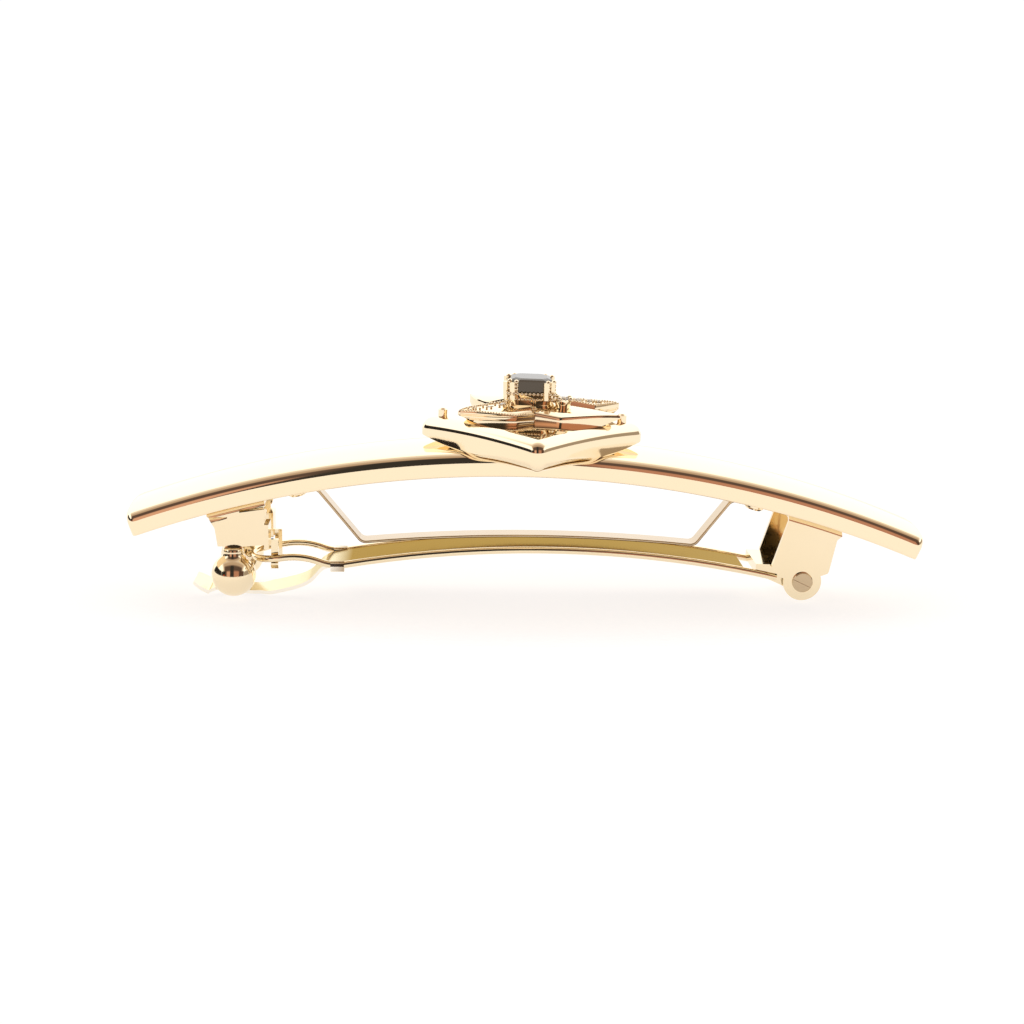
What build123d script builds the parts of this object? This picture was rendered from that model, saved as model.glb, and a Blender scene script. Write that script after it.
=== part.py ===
from build123d import *
import os
from math import asin, cos, degrees, radians, sin, sqrt

# Rhinestone hair clip: a cast, arched bar with a cushion-shaped lozenge in its middle, a rosette of
# four leaves and a square stone on the lozenge, and a spring clasp with two press balls underneath.
#
# Frame: +X along the bar towards the hinge, +Y to the back, +Z up to the decorated side.
# Z = 0 is the plane that touches the bottom of the arm's thumb tongue, and the origin is on it under
# the middle of the clip; the hinge ears and the press balls end half a millimetre higher.
# Millimetres.

# ---- bar -----------------------------------------------------------------------------------------
BAR_LENGTH = 89.1          # chord between the top corners of the two ends
BAR_WIDTH = 10.7
BAR_SIDE = 1.65            # upright part of the side
BAR_THICKNESS = 3.1        # at the crown of the slightly domed top
EDGE_RUN = 1.05            # the rolled top edge reaches this far in, and as far up
END_ROUND = 0.8            # rounding of the edges of the two ends
ARCH_RADIUS = 120.1        # of the underside
MIDDLE_HEIGHT = 14.63      # underside of the bar's middle above the standing plane
LEAN = 1.22                # degrees: the catch end stands a little taller than the hinge end

# ---- lozenge (a square turned by 45 degrees) -----------------------------------------------------
LOZENGE_HALF_DIAGONAL = 12.78
LOZENGE_BOTTOM = 1.9       # above the bar's underside
LOZENGE_TOP = 5.95         # crown of its domed top
LOZENGE_CORNER = 1.3
LOZENGE_SHOULDER = 1.25
LOZENGE_UNDERCUT = 0.9     # rounding of its lower edge
LOZENGE_RISE = (6.9, 2.05, 3.6)    # its two side corners thin out: from here, this low, to this high
LOZENGE_DOME_RADIUS = 110.0

# ---- rosette -------------------------------------------------------------------------------------
LEAF_START = 0.9
LEAF_HEEL = (3.9, 3.7)     # the leaf is widest here, and this wide at its start
LEAF_WIDTH = 4.4
LEAF_FALL = 6.0            # degrees that the crest falls towards the tip
LEAF_ROUND = 7.0           # radius of the rounded top, across the leaf
LEAF_BASE = 5.3
FRONT_PAVE = (207, 9.4, 7.85)      # turn from +X, tip from the middle, crest above the bar's underside
BACK_PAVE = (16, 10.3, 8.2)
FRONT_PLAIN = (-18, 10.0, 7.85)
BACK_PLAIN = (150, 8.0, 8.2)
GROOVE_HEIGHTS = (6.15, 6.4)
GROOVE_DEPTH = 0.16
PAVE_PLACES = ((3.55, 0.66), (5.1, 0.68), (6.55, 0.56), (7.7, 0.40))   # from the middle, radius
PAVE_SINK = 0.25           # girdle of each small stone below the leaf's crest
HUB_RADIUS = 1.9
STONE_MIDDLE = -0.35       # the square stone sits this far along the bar from its middle
STONE_SIDE = 4.7
STONE_CORNER = 0.85
STONE_BOTTOM = 8.3
STONE_EDGE = 10.2
STONE_TOP = 10.6
GALLERY_BOTTOM = 7.35
GALLERY_TOP = 8.8
GALLERY_FOOT = 4.3
GALLERY_FLARE = 22.0       # degrees that the gallery's sides lean outwards
CLAW_RADIUS = 0.32
CLAW_TOP = 9.85
BEAD_RADIUS = 0.5
BEAD_PLACE = 10.0
CUP_PLACE = (2.75, -3.2)
CUP_RADIUS = 1.0
CUP_TOP = 8.5

# ---- clasp ---------------------------------------------------------------------------------------
SHEET = 0.5                # spring sheet of the ears and the catch legs
BASE_SHEET = 0.45
BASE_WIDTH = 4.6
BASE_RANGE = (-29.22, 28.88)
WIRE_RADIUS = 0.39
WIRE_Y = 3.11              # the wire loop's sides are this far from the middle
LOOP_END = (-30.87, 4.25)
LOOP_START = (-27.76, 4.62)
VALLEY = (-21.67, 3.75)
WIRE_SADDLE = (-23.3, 4.25)        # between the valley and the crest of the wires
WIRE_ARC_RADIUS = 125.0
WIRE_APEX = (1.17, 5.84)   # top of the long arc of the arm's wires
WIRE_FOOT_X = 28.03
PLATE_SHEET = 0.4
PLATE_END = 24.41
THUMB_MIDDLE = ((-22.95, 3.3), (-24.3, 1.9), (-26.7, 0.85), (-31.6, 0.25), (-35.6, 0.55), (-37.5, 1.35))
THUMB_WIDTH = 4.6
THUMB_NECK = 3.2           # where it passes between the two balls
THUMB_TAB = 4.8
CRIMP_RADIUS = 0.62
PIN = (30.9, 2.6)          # hinge pin, X and Z
PIN_RADIUS = 0.9
PIN_HEAD = 1.15
PIN_CLEARANCE = 0.05
EAR_RADIUS = 2.15
EAR_INSIDE = 3.35          # inner faces of the two ears from the middle
EAR_BEND = 0.85
KNUCKLE_RADIUS = 1.8
SIDE_PLAY = 0.05
BALL_RADIUS = 2.45
BALL_PLACE = (-32.69, 3.95, 3.0)
COLLAR_RADIUS = 1.3
COLLAR_FLARE = 0.5
COLLAR_TOP = 6.3
TAB_INSIDE = 4.25          # inner faces of the stop tabs from the middle
LEG_INSIDE = 3.5           # inner face of each catch leg from the middle
LEG_DEPTH = (0.47, 0.95)   # the spring's top flange lies this far below the bar's underside
TONGUE = (2.0, 2.45)       # the barbed tongue hangs inside the wire loop
BARB_REACH = 3.05
TENSION_SHEET = 0.3
TENSION_WIDTH = 2.4
TENSION_BENDS = ((-23.72, -18.69), (22.93, 18.91))    # top and bottom of each strut
TENSION_LOW = 6.0
TENSION_CROWN = 6.91
FOOT_ENDS = (-28.02, 27.88)
RIVET_PLACES = (-26.12, 25.88)
RIVET_HEAD = 1.1
RIVET_HEAD_HEIGHT = 0.45
RIVET_SHANK = 0.6
RIVET_DEPTH = 0.8          # into the bar

# ---- worked out from the above -------------------------------------------------------------------
lean_x = sin(radians(LEAN))
lean_z = cos(radians(LEAN))
half_angle = asin(BAR_LENGTH / 2 / (ARCH_RADIUS + BAR_THICKNESS))
end_drop = (ARCH_RADIUS + BAR_THICKNESS) * (1 - cos(half_angle)) - BAR_THICKNESS
middle_x = end_drop * lean_x                       # puts the origin under the middle of the outer box
arch_x = middle_x - ARCH_RADIUS * lean_x
arch_z = MIDDLE_HEIGHT - ARCH_RADIUS * lean_z
bar_frame = Plane(origin=(middle_x, 0, MIDDLE_HEIGHT), x_dir=(lean_z, 0, -lean_x), z_dir=(lean_x, 0, lean_z))
arch_axis = Axis((arch_x, 0, arch_z), (0, 1, 0))


def arch_height(x, depth=0.0):
    """Height of the arch at x, on a surface that is depth below the bar's underside."""
    return arch_z + sqrt((ARCH_RADIUS - depth) ** 2 - (x - arch_x) ** 2)


def station(x):
    """Angle of the arch's radius through x on the underside, in degrees from upright."""
    return degrees(asin((x - arch_x) / ARCH_RADIUS))


def radial_plane(angle):
    """Cross-section plane of the arch: X is across the clip, Y is outwards along the radius."""
    lift = (sin(radians(angle)), 0, cos(radians(angle)))
    place = (arch_x + ARCH_RADIUS * lift[0], 0, arch_z + ARCH_RADIUS * lift[2])
    return Plane(origin=place, x_dir=(0, 1, 0), z_dir=Vector(0, 1, 0).cross(Vector(*lift)))


def rivet_plane(x):
    """Plane on the bar's underside at x, facing outwards along the arch's radius."""
    lift = radial_plane(station(x)).y_dir
    return Plane(origin=(x, 0, arch_height(x)), x_dir=Vector(0, 1, 0).cross(lift), z_dir=lift)


def wire_height(x):
    """Height of the middle of the arm's wires on their long arc."""
    return WIRE_APEX[1] - WIRE_ARC_RADIUS + sqrt(WIRE_ARC_RADIUS**2 - (x - WIRE_APEX[0]) ** 2)


os.makedirs("parts", exist_ok=True)

# ==== bar with its lozenge: one casting ===========================================================
rim_y = BAR_WIDTH / 2 - EDGE_RUN
rim_z = BAR_SIDE + EDGE_RUN
with BuildPart() as arched_bar:
    with BuildSketch(radial_plane(LEAN - degrees(half_angle))):
        with BuildLine():
            Line((-BAR_WIDTH / 2, 0), (BAR_WIDTH / 2, 0))
            Line((BAR_WIDTH / 2, 0), (BAR_WIDTH / 2, BAR_SIDE))
            RadiusArc((BAR_WIDTH / 2, BAR_SIDE), (rim_y, rim_z), -EDGE_RUN)
            ThreePointArc((rim_y, rim_z), (0, BAR_THICKNESS), (-rim_y, rim_z))
            RadiusArc((-rim_y, rim_z), (-BAR_WIDTH / 2, BAR_SIDE), -EDGE_RUN)
            Line((-BAR_WIDTH / 2, BAR_SIDE), (-BAR_WIDTH / 2, 0))
        make_face()
    revolve(axis=arch_axis, revolution_arc=2 * degrees(half_angle))
    end_faces = arched_bar.faces().sort_by(Axis.X)
    end_edges = end_faces[0].edges() + end_faces[-1].edges()
    fillet(end_edges.filter_by(lambda e: e.center().Z > arch_height(e.center().X) + 0.2), END_ROUND)
    # the bar's sides stand upright up to the lozenge, inside its outline
    with BuildSketch(bar_frame.offset(0.4)):
        Rectangle(LOZENGE_HALF_DIAGONAL * sqrt(2), LOZENGE_HALF_DIAGONAL * sqrt(2), rotation=45)
        Rectangle(BAR_LENGTH, BAR_WIDTH, mode=Mode.INTERSECT)
    extrude(amount=LOZENGE_BOTTOM + 1.0)

with BuildPart() as lozenge:
    with BuildSketch(bar_frame.offset(LOZENGE_BOTTOM)) as lozenge_plan:
        Rectangle(LOZENGE_HALF_DIAGONAL * sqrt(2), LOZENGE_HALF_DIAGONAL * sqrt(2), rotation=45)
        fillet(lozenge_plan.vertices(), LOZENGE_CORNER)
    extrude(amount=LOZENGE_TOP - LOZENGE_BOTTOM)
    with Locations(bar_frame.offset(LOZENGE_TOP - LOZENGE_DOME_RADIUS)):
        Sphere(LOZENGE_DOME_RADIUS, mode=Mode.INTERSECT)
    fillet(lozenge.faces().sort_by(Axis(bar_frame.origin, bar_frame.z_dir))[-1].edges(), LOZENGE_SHOULDER)
    fillet(lozenge.faces().sort_by(Axis(bar_frame.origin, bar_frame.z_dir))[0].edges(), LOZENGE_UNDERCUT)
    rise_start, rise_low, rise_high = LOZENGE_RISE
    with BuildSketch(Plane(bar_frame.origin, x_dir=bar_frame.x_dir, z_dir=(0, -1, 0))):
        for side in (-1, 1):
            with BuildLine():
                Polyline(
                    (side * rise_start, rise_low), (side * LOZENGE_HALF_DIAGONAL, rise_high),
                    (side * LOZENGE_HALF_DIAGONAL, 0), (side * rise_start, 0), (side * rise_start, rise_low)
                )
            make_face()
    extrude(amount=BAR_WIDTH, both=True, mode=Mode.SUBTRACT)

with BuildPart() as bar:
    add(arched_bar.part)
    add(lozenge.part)
    # blind holes for the two clasp rivets
    for rivet_x in RIVET_PLACES:
        with Locations(rivet_plane(rivet_x)):
            Cylinder(RIVET_SHANK, 2 * RIVET_DEPTH, mode=Mode.SUBTRACT)
bar.part.label = "bar"
export_step(bar.part, "parts/bar.step")

# ==== rosette =====================================================================================
stone_frame = bar_frame.offset(0)
stone_frame.origin = bar_frame.from_local_coords((STONE_MIDDLE, 0, 0))
with BuildPart() as center_stone:
    with BuildSketch(stone_frame.offset(STONE_BOTTOM)) as stone_plan:
        Rectangle(STONE_SIDE, STONE_SIDE)
        chamfer(stone_plan.vertices(), STONE_CORNER)
    extrude(amount=STONE_TOP - STONE_BOTTOM)
    stone_faces = center_stone.faces().sort_by(Axis(stone_frame.origin, stone_frame.z_dir))
    chamfer(stone_faces[-1].edges(), STONE_TOP - STONE_EDGE, 0.75)
    chamfer(stone_faces[0].edges(), 0.3)
center_stone.part.label = "center_stone"
export_step(center_stone.part, "parts/center_stone.step")

with BuildPart() as stone_setting:
    # hub on the lozenge, and the flared gallery that carries the stone
    with Locations(stone_frame.offset(LEAF_BASE)):
        Cylinder(HUB_RADIUS, GALLERY_BOTTOM + 0.2 - LEAF_BASE, align=(Align.CENTER, Align.CENTER, Align.MIN))
    with BuildSketch(stone_frame.offset(GALLERY_BOTTOM)):
        RectangleRounded(GALLERY_FOOT, GALLERY_FOOT, 0.9)
    extrude(amount=GALLERY_TOP - GALLERY_BOTTOM, taper=-GALLERY_FLARE)
    # a pair of claws at each cut corner of the stone
    claw_place = STONE_SIDE / 2 - STONE_CORNER / 2 + 0.16
    for quarter in range(4):
        turned = stone_frame.rotated((0, 0, 90 * quarter))
        for side in (-1, 1):
            with Locations(turned * Pos(claw_place + side * 0.34, claw_place - side * 0.34, GALLERY_TOP - 0.7)):
                Cylinder(CLAW_RADIUS, CLAW_TOP - GALLERY_TOP + 0.9, align=(Align.CENTER, Align.CENTER, Align.MIN))
    add(center_stone.part, mode=Mode.SUBTRACT)
    add(bar.part, mode=Mode.SUBTRACT)
stone_setting.part.label = "stone_setting"
export_step(stone_setting.part, "parts/stone_setting.step")


with BuildPart() as accent_crystal:
    with BuildSketch(bar_frame * Pos(CUP_PLACE[0], CUP_PLACE[1], CUP_TOP - 0.5)):
        RegularPolygon(CUP_RADIUS - 0.25, 10)
    extrude(amount=0.55)
    with BuildSketch(bar_frame * Pos(CUP_PLACE[0], CUP_PLACE[1], CUP_TOP + 0.05)):
        RegularPolygon(CUP_RADIUS - 0.25, 10)
    with BuildSketch(bar_frame * Pos(CUP_PLACE[0], CUP_PLACE[1], CUP_TOP + 0.4)):
        RegularPolygon(0.35, 10)
    loft()
accent_crystal.part.label = "accent_crystal"
export_step(accent_crystal.part, "parts/accent_crystal.step")

with BuildPart() as accent_cup:
    with Locations(bar_frame * Pos(CUP_PLACE[0], CUP_PLACE[1], LEAF_BASE)):
        Cylinder(CUP_RADIUS * 0.8, CUP_TOP - 0.6 - LEAF_BASE, align=(Align.CENTER, Align.CENTER, Align.MIN))
    with Locations(bar_frame * Pos(CUP_PLACE[0], CUP_PLACE[1], CUP_TOP - 0.9)):
        Cone(CUP_RADIUS * 0.8, CUP_RADIUS, 0.9, align=(Align.CENTER, Align.CENTER, Align.MIN))
    with Locations(bar_frame * Pos(CUP_PLACE[0], CUP_PLACE[1], CUP_TOP)):
        with PolarLocations(CUP_RADIUS - 0.1, 4):
            Cylinder(0.17, 0.4)
    add(accent_crystal.part, mode=Mode.SUBTRACT)
    add(bar.part, mode=Mode.SUBTRACT)
    add(stone_setting.part, mode=Mode.SUBTRACT)
accent_cup.part.label = "accent_cup"
export_step(accent_cup.part, "parts/accent_cup.step")

with BuildPart() as corner_beads:
    for side in (-1, 1):
        with Locations(bar_frame * Pos(side * BEAD_PLACE, 0, LOZENGE_TOP)):
            Cylinder(BEAD_RADIUS, 2 * BEAD_RADIUS)
    chamfer(corner_beads.edges().group_by(Axis(bar_frame.origin, bar_frame.z_dir))[-1], 0.2)
    add(bar.part, mode=Mode.SUBTRACT)
corner_beads.part.label = "corner_beads"
export_step(corner_beads.part, "parts/corner_beads.step")


def leaf_plane(turn):
    """Plane with X along a leaf, from the middle of the lozenge to the leaf's tip."""
    return bar_frame.rotated((0, 0, turn))


def leaf_outline(tip, inset):
    """Closed outline of a leaf: blunt start at the hub, widest at its heel, pointed tip."""
    heel, start_width = LEAF_HEEL
    half = LEAF_WIDTH / 2 - inset
    bulge_x = (heel + tip) / 2
    for side in (-1, 1):
        ThreePointArc((heel, side * half), (bulge_x, side * half * 0.8), (tip - 2 * inset, 0))
        Line((LEAF_START, side * (start_width / 2 - inset)), (heel, side * half))
    Line((LEAF_START, inset - start_width / 2), (LEAF_START, start_width / 2 - inset))


def leaf_solid(leaf_place, grooved):
    """One leaf: rounded crest that falls towards the tip, and grooved sides if asked for."""
    turn, tip, crest_height = leaf_place
    plane = leaf_plane(turn)
    with BuildPart(mode=Mode.PRIVATE) as leaf:
        with BuildSketch(plane.offset(LEAF_BASE)):
            with BuildLine():
                leaf_outline(tip, 0)
            make_face()
        extrude(amount=4)
        if grooved:
            with BuildSketch(plane.offset(GROOVE_HEIGHTS[0])):
                with Locations((tip / 2, 0)):
                    Rectangle(2 * tip, 2 * LEAF_WIDTH)
                with BuildLine():
                    leaf_outline(tip, GROOVE_DEPTH)
                make_face(mode=Mode.SUBTRACT)
            extrude(amount=GROOVE_HEIGHTS[1] - GROOVE_HEIGHTS[0], mode=Mode.SUBTRACT)
        crest = plane * Pos(0, 0, crest_height - LEAF_ROUND) * Rot(0, 90 + LEAF_FALL, 0)
        with Locations(crest):
            Cylinder(LEAF_ROUND, 40, mode=Mode.INTERSECT)
        # the four leaves meet along the lozenge's two axes
        quadrant_x = 5 if cos(radians(turn)) > 0 else -5
        quadrant_y = 5 if sin(radians(turn)) > 0 else -5
        with Locations(bar_frame * Pos(quadrant_x * 1.002, quadrant_y * 1.002, 6)):
            Box(10, 10, 10, mode=Mode.INTERSECT)
        add(bar.part, mode=Mode.SUBTRACT)
        add(stone_setting.part, mode=Mode.SUBTRACT)
        add(accent_cup.part, mode=Mode.SUBTRACT)
    return leaf.part


def pave_cut(leaf_place, place, radius):
    """Small round stone on a leaf: a low crown with a table, and a short girdle below it."""
    turn, tip, crest_height = leaf_place
    plane = leaf_plane(turn)
    crest = crest_height - place * sin(radians(LEAF_FALL))
    top = plane * Pos(place, 0, crest - PAVE_SINK) * Rot(0, LEAF_FALL, 0)
    with BuildPart(mode=Mode.PRIVATE) as stone:
        with BuildSketch(top):
            RegularPolygon(radius, 8)
        extrude(amount=-0.2)
        with BuildSketch(top):
            RegularPolygon(radius, 8)
        with BuildSketch(top * Pos(0, 0, 0.36)):
            RegularPolygon(radius * 0.55, 8)
        loft()
    return stone.part


with BuildPart() as pave_stones:
    for leaf_place in (FRONT_PAVE, BACK_PAVE):
        for place, radius in PAVE_PLACES:
            add(pave_cut(leaf_place, place, radius))
pave_stones.part.label = "pave_stones"
export_step(pave_stones.part, "parts/pave_stones.step")

with BuildPart() as pave_leaf_front:
    add(leaf_solid(FRONT_PAVE, True))
    add(pave_stones.part, mode=Mode.SUBTRACT)
pave_leaf_front.part.label = "pave_leaf_front"
export_step(pave_leaf_front.part, "parts/pave_leaf_front.step")

with BuildPart() as pave_leaf_back:
    add(leaf_solid(BACK_PAVE, True))
    add(pave_stones.part, mode=Mode.SUBTRACT)
pave_leaf_back.part.label = "pave_leaf_back"
export_step(pave_leaf_back.part, "parts/pave_leaf_back.step")

with BuildPart() as plain_leaf_front:
    add(leaf_solid(FRONT_PLAIN, False))
plain_leaf_front.part.label = "plain_leaf_front"
export_step(plain_leaf_front.part, "parts/plain_leaf_front.step")

with BuildPart() as plain_leaf_back:
    add(leaf_solid(BACK_PLAIN, False))
plain_leaf_back.part.label = "plain_leaf_back"
export_step(plain_leaf_back.part, "parts/plain_leaf_back.step")

# ==== fixed parts of the clasp ====================================================================
with BuildPart() as base_strip:
    with BuildSketch(radial_plane(station(BASE_RANGE[0]))):
        with Locations((0, -BASE_SHEET / 2)):
            Rectangle(BASE_WIDTH, BASE_SHEET)
    revolve(axis=arch_axis, revolution_arc=station(BASE_RANGE[1]) - station(BASE_RANGE[0]))
    for rivet_x in RIVET_PLACES:
        with Locations(rivet_plane(rivet_x)):
            Cylinder(RIVET_SHANK, 2, mode=Mode.SUBTRACT)
base_strip.part.label = "base_strip"
export_step(base_strip.part, "parts/base_strip.step")

foot_depth = BASE_SHEET + TENSION_SHEET / 2
with BuildPart() as tension_strip:
    with BuildSketch(Plane.XZ):
        with BuildLine() as strip_line:
            for (top_x, low_x), end_x in zip(TENSION_BENDS, FOOT_ENDS):
                middle = (top_x + end_x) / 2
                ThreePointArc(
                    (end_x, arch_height(end_x, foot_depth)),
                    (middle, arch_height(middle, foot_depth)),
                    (top_x, arch_height(top_x, foot_depth)),
                )
                Line((top_x, arch_height(top_x, foot_depth)), (low_x, TENSION_LOW))
            ThreePointArc(
                (TENSION_BENDS[0][1], TENSION_LOW), (0.11, TENSION_CROWN), (TENSION_BENDS[1][1], TENSION_LOW)
            )
            bends = strip_line.vertices().filter_by(lambda v: FOOT_ENDS[0] + 1 < v.X < FOOT_ENDS[1] - 1)
            fillet(bends, 1.0)
        trace(line_width=TENSION_SHEET)
    extrude(amount=TENSION_WIDTH / 2, both=True)
    for rivet_x in RIVET_PLACES:
        with Locations(rivet_plane(rivet_x)):
            Cylinder(RIVET_SHANK, 3, mode=Mode.SUBTRACT)
    add(base_strip.part, mode=Mode.SUBTRACT)
tension_strip.part.label = "tension_strip"
export_step(tension_strip.part, "parts/tension_strip.step")

with BuildPart() as base_rivets:
    under = BASE_SHEET + TENSION_SHEET
    for rivet_x in RIVET_PLACES:
        with Locations(rivet_plane(rivet_x).offset(-under)):
            Cylinder(RIVET_SHANK, under + RIVET_DEPTH, align=(Align.CENTER, Align.CENTER, Align.MIN))
            Cylinder(RIVET_HEAD, RIVET_HEAD_HEIGHT, align=(Align.CENTER, Align.CENTER, Align.MAX))
    rims = base_rivets.edges().filter_by(GeomType.CIRCLE).filter_by(lambda e: e.radius > RIVET_HEAD - 0.1)
    chamfer(rims.filter_by(lambda e: arch_height(e.center().X) - e.center().Z > under + 0.2), 0.2)
    add(tension_strip.part, mode=Mode.SUBTRACT)
base_rivets.part.label = "base_rivets"
export_step(base_rivets.part, "parts/base_rivets.step")


def bent_channel(start_x, end_x, half_width, top_depth, sheet, leg_depth, bend):
    """Sheet channel that follows the bar's underside, with both sides bent down."""
    with BuildPart(mode=Mode.PRIVATE) as channel:
        with BuildSketch(radial_plane(station(start_x))) as section:
            with Locations((0, -(top_depth + leg_depth) / 2)):
                Rectangle(2 * half_width, leg_depth - top_depth)
            fillet(section.vertices().group_by(Axis.Y)[-1], bend)
            with BuildSketch(mode=Mode.PRIVATE) as hollow:
                with Locations((0, -(top_depth + sheet + leg_depth) / 2)):
                    Rectangle(2 * (half_width - sheet), leg_depth - top_depth - sheet)
                fillet(hollow.vertices().group_by(Axis.Y)[-1], bend - sheet)
            add(hollow.sketch, mode=Mode.SUBTRACT)
        revolve(axis=arch_axis, revolution_arc=station(end_x) - station(start_x))
    return channel.part


with BuildPart() as hinge_bracket:
    add(bent_channel(BASE_RANGE[1] - 2.4, 35.68, EAR_INSIDE + SHEET, 0, SHEET, 11.5, EAR_BEND))
    with BuildSketch(Plane.XZ) as ear_outline:
        with BuildLine():
            Polyline(
                (28.93, 13.3), (28.93, 9.6), (27.3, 4.25), (28.5, 3.05), (PIN[0], PIN[1]), (33.8, 3.6),
                (34.55, 7.5), (35.08, 7.9), (35.08, 13.3), (28.93, 13.3)
            )
        make_face()
        fillet(ear_outline.vertices().filter_by(lambda v: v.Y < 9 and v.X < 34.8 and v.Y > 3.2), 0.4)
        with Locations(PIN):
            Circle(EAR_RADIUS)
            Circle(PIN_RADIUS, mode=Mode.SUBTRACT)
    extrude(amount=6, both=True, mode=Mode.INTERSECT)
    # the pad ends where the base strip begins
    with BuildSketch(radial_plane(station(BASE_RANGE[1]))):
        Rectangle(20, 3)
    revolve(axis=arch_axis, revolution_arc=-6, mode=Mode.SUBTRACT)
hinge_bracket.part.label = "hinge_bracket"
export_step(hinge_bracket.part, "parts/hinge_bracket.step")

with BuildPart() as hinge_pin:
    pin_place = Pos(PIN[0], 0, PIN[1]) * Rot(90, 0, 0)
    ear_outside = EAR_INSIDE + SHEET
    with Locations(pin_place):
        Cylinder(PIN_RADIUS, 2 * ear_outside)
    for side in (-1, 1):
        with Locations(pin_place * Pos(0, 0, side * (ear_outside + 0.15))):
            Cylinder(PIN_HEAD, 0.3)
    chamfer(hinge_pin.edges().group_by(Axis.Y)[0], 0.1)
    chamfer(hinge_pin.edges().group_by(Axis.Y)[-1], 0.1)
    with Locations(Pos(PIN[0], -(ear_outside + 0.3), PIN[1]) * Rot(0, 25, 0)):
        Box(3, 0.3, 0.32, mode=Mode.SUBTRACT)
hinge_pin.part.label = "hinge_pin"
export_step(hinge_pin.part, "parts/hinge_pin.step")

with BuildPart() as catch_bracket:
    add(bent_channel(-35.52, BASE_RANGE[0], TAB_INSIDE + SHEET, 0, BASE_SHEET, 3.5, 0.7))
    with BuildSketch(Plane.XZ) as tab_outline:
        with BuildLine():
            Polyline(
                (-35.9, 12.3), (-35.9, 9.6), (-33.2, 9.7), (-33.2, 8.4), (-29.3, 8.75), (-28.85, 10.65),
                (-31.87, 10.2), (-31.87, 10.5), (-28.85, 10.95), (-28.85, 13.3), (-35.9, 12.3)
            )
        make_face()
        fillet(tab_outline.vertices().filter_by(lambda v: v.Y < 9.0), 0.7)
    extrude(amount=6, both=True, mode=Mode.INTERSECT)
catch_bracket.part.label = "catch_bracket"
export_step(catch_bracket.part, "parts/catch_bracket.step")

# ==== the arm: wire, plate with its thumb tab, knuckle ============================================
bend_x = -20.4
with BuildPart() as arm_wire:
    with BuildLine() as loop:
        for side in (-1, 1):
            ThreePointArc(
                (WIRE_FOOT_X, side * WIRE_Y, wire_height(WIRE_FOOT_X)),
                (3.0, side * WIRE_Y, wire_height(3.0)),
                (bend_x, side * WIRE_Y, wire_height(bend_x)),
            )
            valley_arc = TangentArc(
                (bend_x, side * WIRE_Y, wire_height(bend_x)),
                (WIRE_SADDLE[0], side * WIRE_Y, WIRE_SADDLE[1]),
                tangent=(-1, 0, -(WIRE_APEX[0] - bend_x) / WIRE_ARC_RADIUS),
            )
            TangentArc(
                (WIRE_SADDLE[0], side * WIRE_Y, WIRE_SADDLE[1]),
                (LOOP_START[0], side * WIRE_Y, LOOP_START[1]),
                tangent=valley_arc % 1,
            )
        ThreePointArc(
            (LOOP_START[0], -WIRE_Y, LOOP_START[1]),
            (LOOP_END[0], 0, LOOP_END[1]),
            (LOOP_START[0], WIRE_Y, LOOP_START[1]),
        )
    wire_path = loop.wires()[0]
    with BuildSketch(Plane(origin=wire_path @ 0, z_dir=wire_path % 0)):
        Circle(WIRE_RADIUS)
    sweep(path=wire_path)
arm_wire.part.label = "arm_wire"
export_step(arm_wire.part, "parts/arm_wire.step")

thumb_slope = (WIRE_APEX[0] - bend_x) / WIRE_ARC_RADIUS
thumb_line = ((bend_x, wire_height(bend_x)),) + THUMB_MIDDLE


def thumb_side(shift):
    """Points of the thumb tongue's line, moved to one face of the sheet."""
    points = []
    for number, (x, z) in enumerate(thumb_line):
        before = thumb_line[max(number - 1, 0)]
        after = thumb_line[min(number + 1, len(thumb_line) - 1)]
        along = Vector(after[0] - before[0], after[1] - before[1]).normalized()
        points.append((x + shift * along.Y, z - shift * along.X))
    return points


with BuildPart() as arm_plate:
    with BuildSketch(Plane.XZ):
        with BuildLine():
            faces_at = []
            for shift in (PLATE_SHEET / 2, -PLATE_SHEET / 2):
                side_points = thumb_side(shift)
                flat = ThreePointArc(
                    (PLATE_END, wire_height(PLATE_END) + shift), (1.0, wire_height(1.0) + shift), side_points[0]
                )
                tongue_line = Spline(*side_points, tangents=((-1, -thumb_slope), (-1, 0.6)))
                faces_at.append((flat, tongue_line))
            Line(faces_at[0][0] @ 0, faces_at[1][0] @ 0)
            Line(faces_at[0][1] @ 1, faces_at[1][1] @ 1)
        make_face()
    extrude(amount=WIRE_Y, both=True)
    with BuildSketch(Plane.XY) as plate_plan:
        with BuildLine():
            right_side = Polyline(
                (PLATE_END, WIRE_Y), (-21.2, WIRE_Y), (-22.9, THUMB_WIDTH / 2), (-28.9, THUMB_WIDTH / 2),
                (-30.0, THUMB_NECK / 2), (-34.9, THUMB_NECK / 2), (-35.5, THUMB_TAB / 2), (-37.8, THUMB_TAB / 2),
                (-37.8, -THUMB_TAB / 2), (-35.5, -THUMB_TAB / 2), (-34.9, -THUMB_NECK / 2),
                (-30.0, -THUMB_NECK / 2), (-28.9, -THUMB_WIDTH / 2), (-22.9, -THUMB_WIDTH / 2),
                (-21.2, -WIRE_Y), (PLATE_END, -WIRE_Y), (PLATE_END, WIRE_Y)
            )
        make_face()
        fillet(plate_plan.vertices().filter_by(lambda v: v.X < -37), 1.5)
    extrude(amount=12, both=True, mode=Mode.INTERSECT)
    for side in (-1, 1):
        with Locations(Pos(VALLEY[0] + 0.35, side * WIRE_Y, VALLEY[1] + 0.02) * Rot(0, 90, 0)):
            Cylinder(CRIMP_RADIUS, 1.5)
    add(arm_wire.part, mode=Mode.SUBTRACT)
arm_plate.part.label = "arm_plate"
export_step(arm_plate.part, "parts/arm_plate.step")

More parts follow.
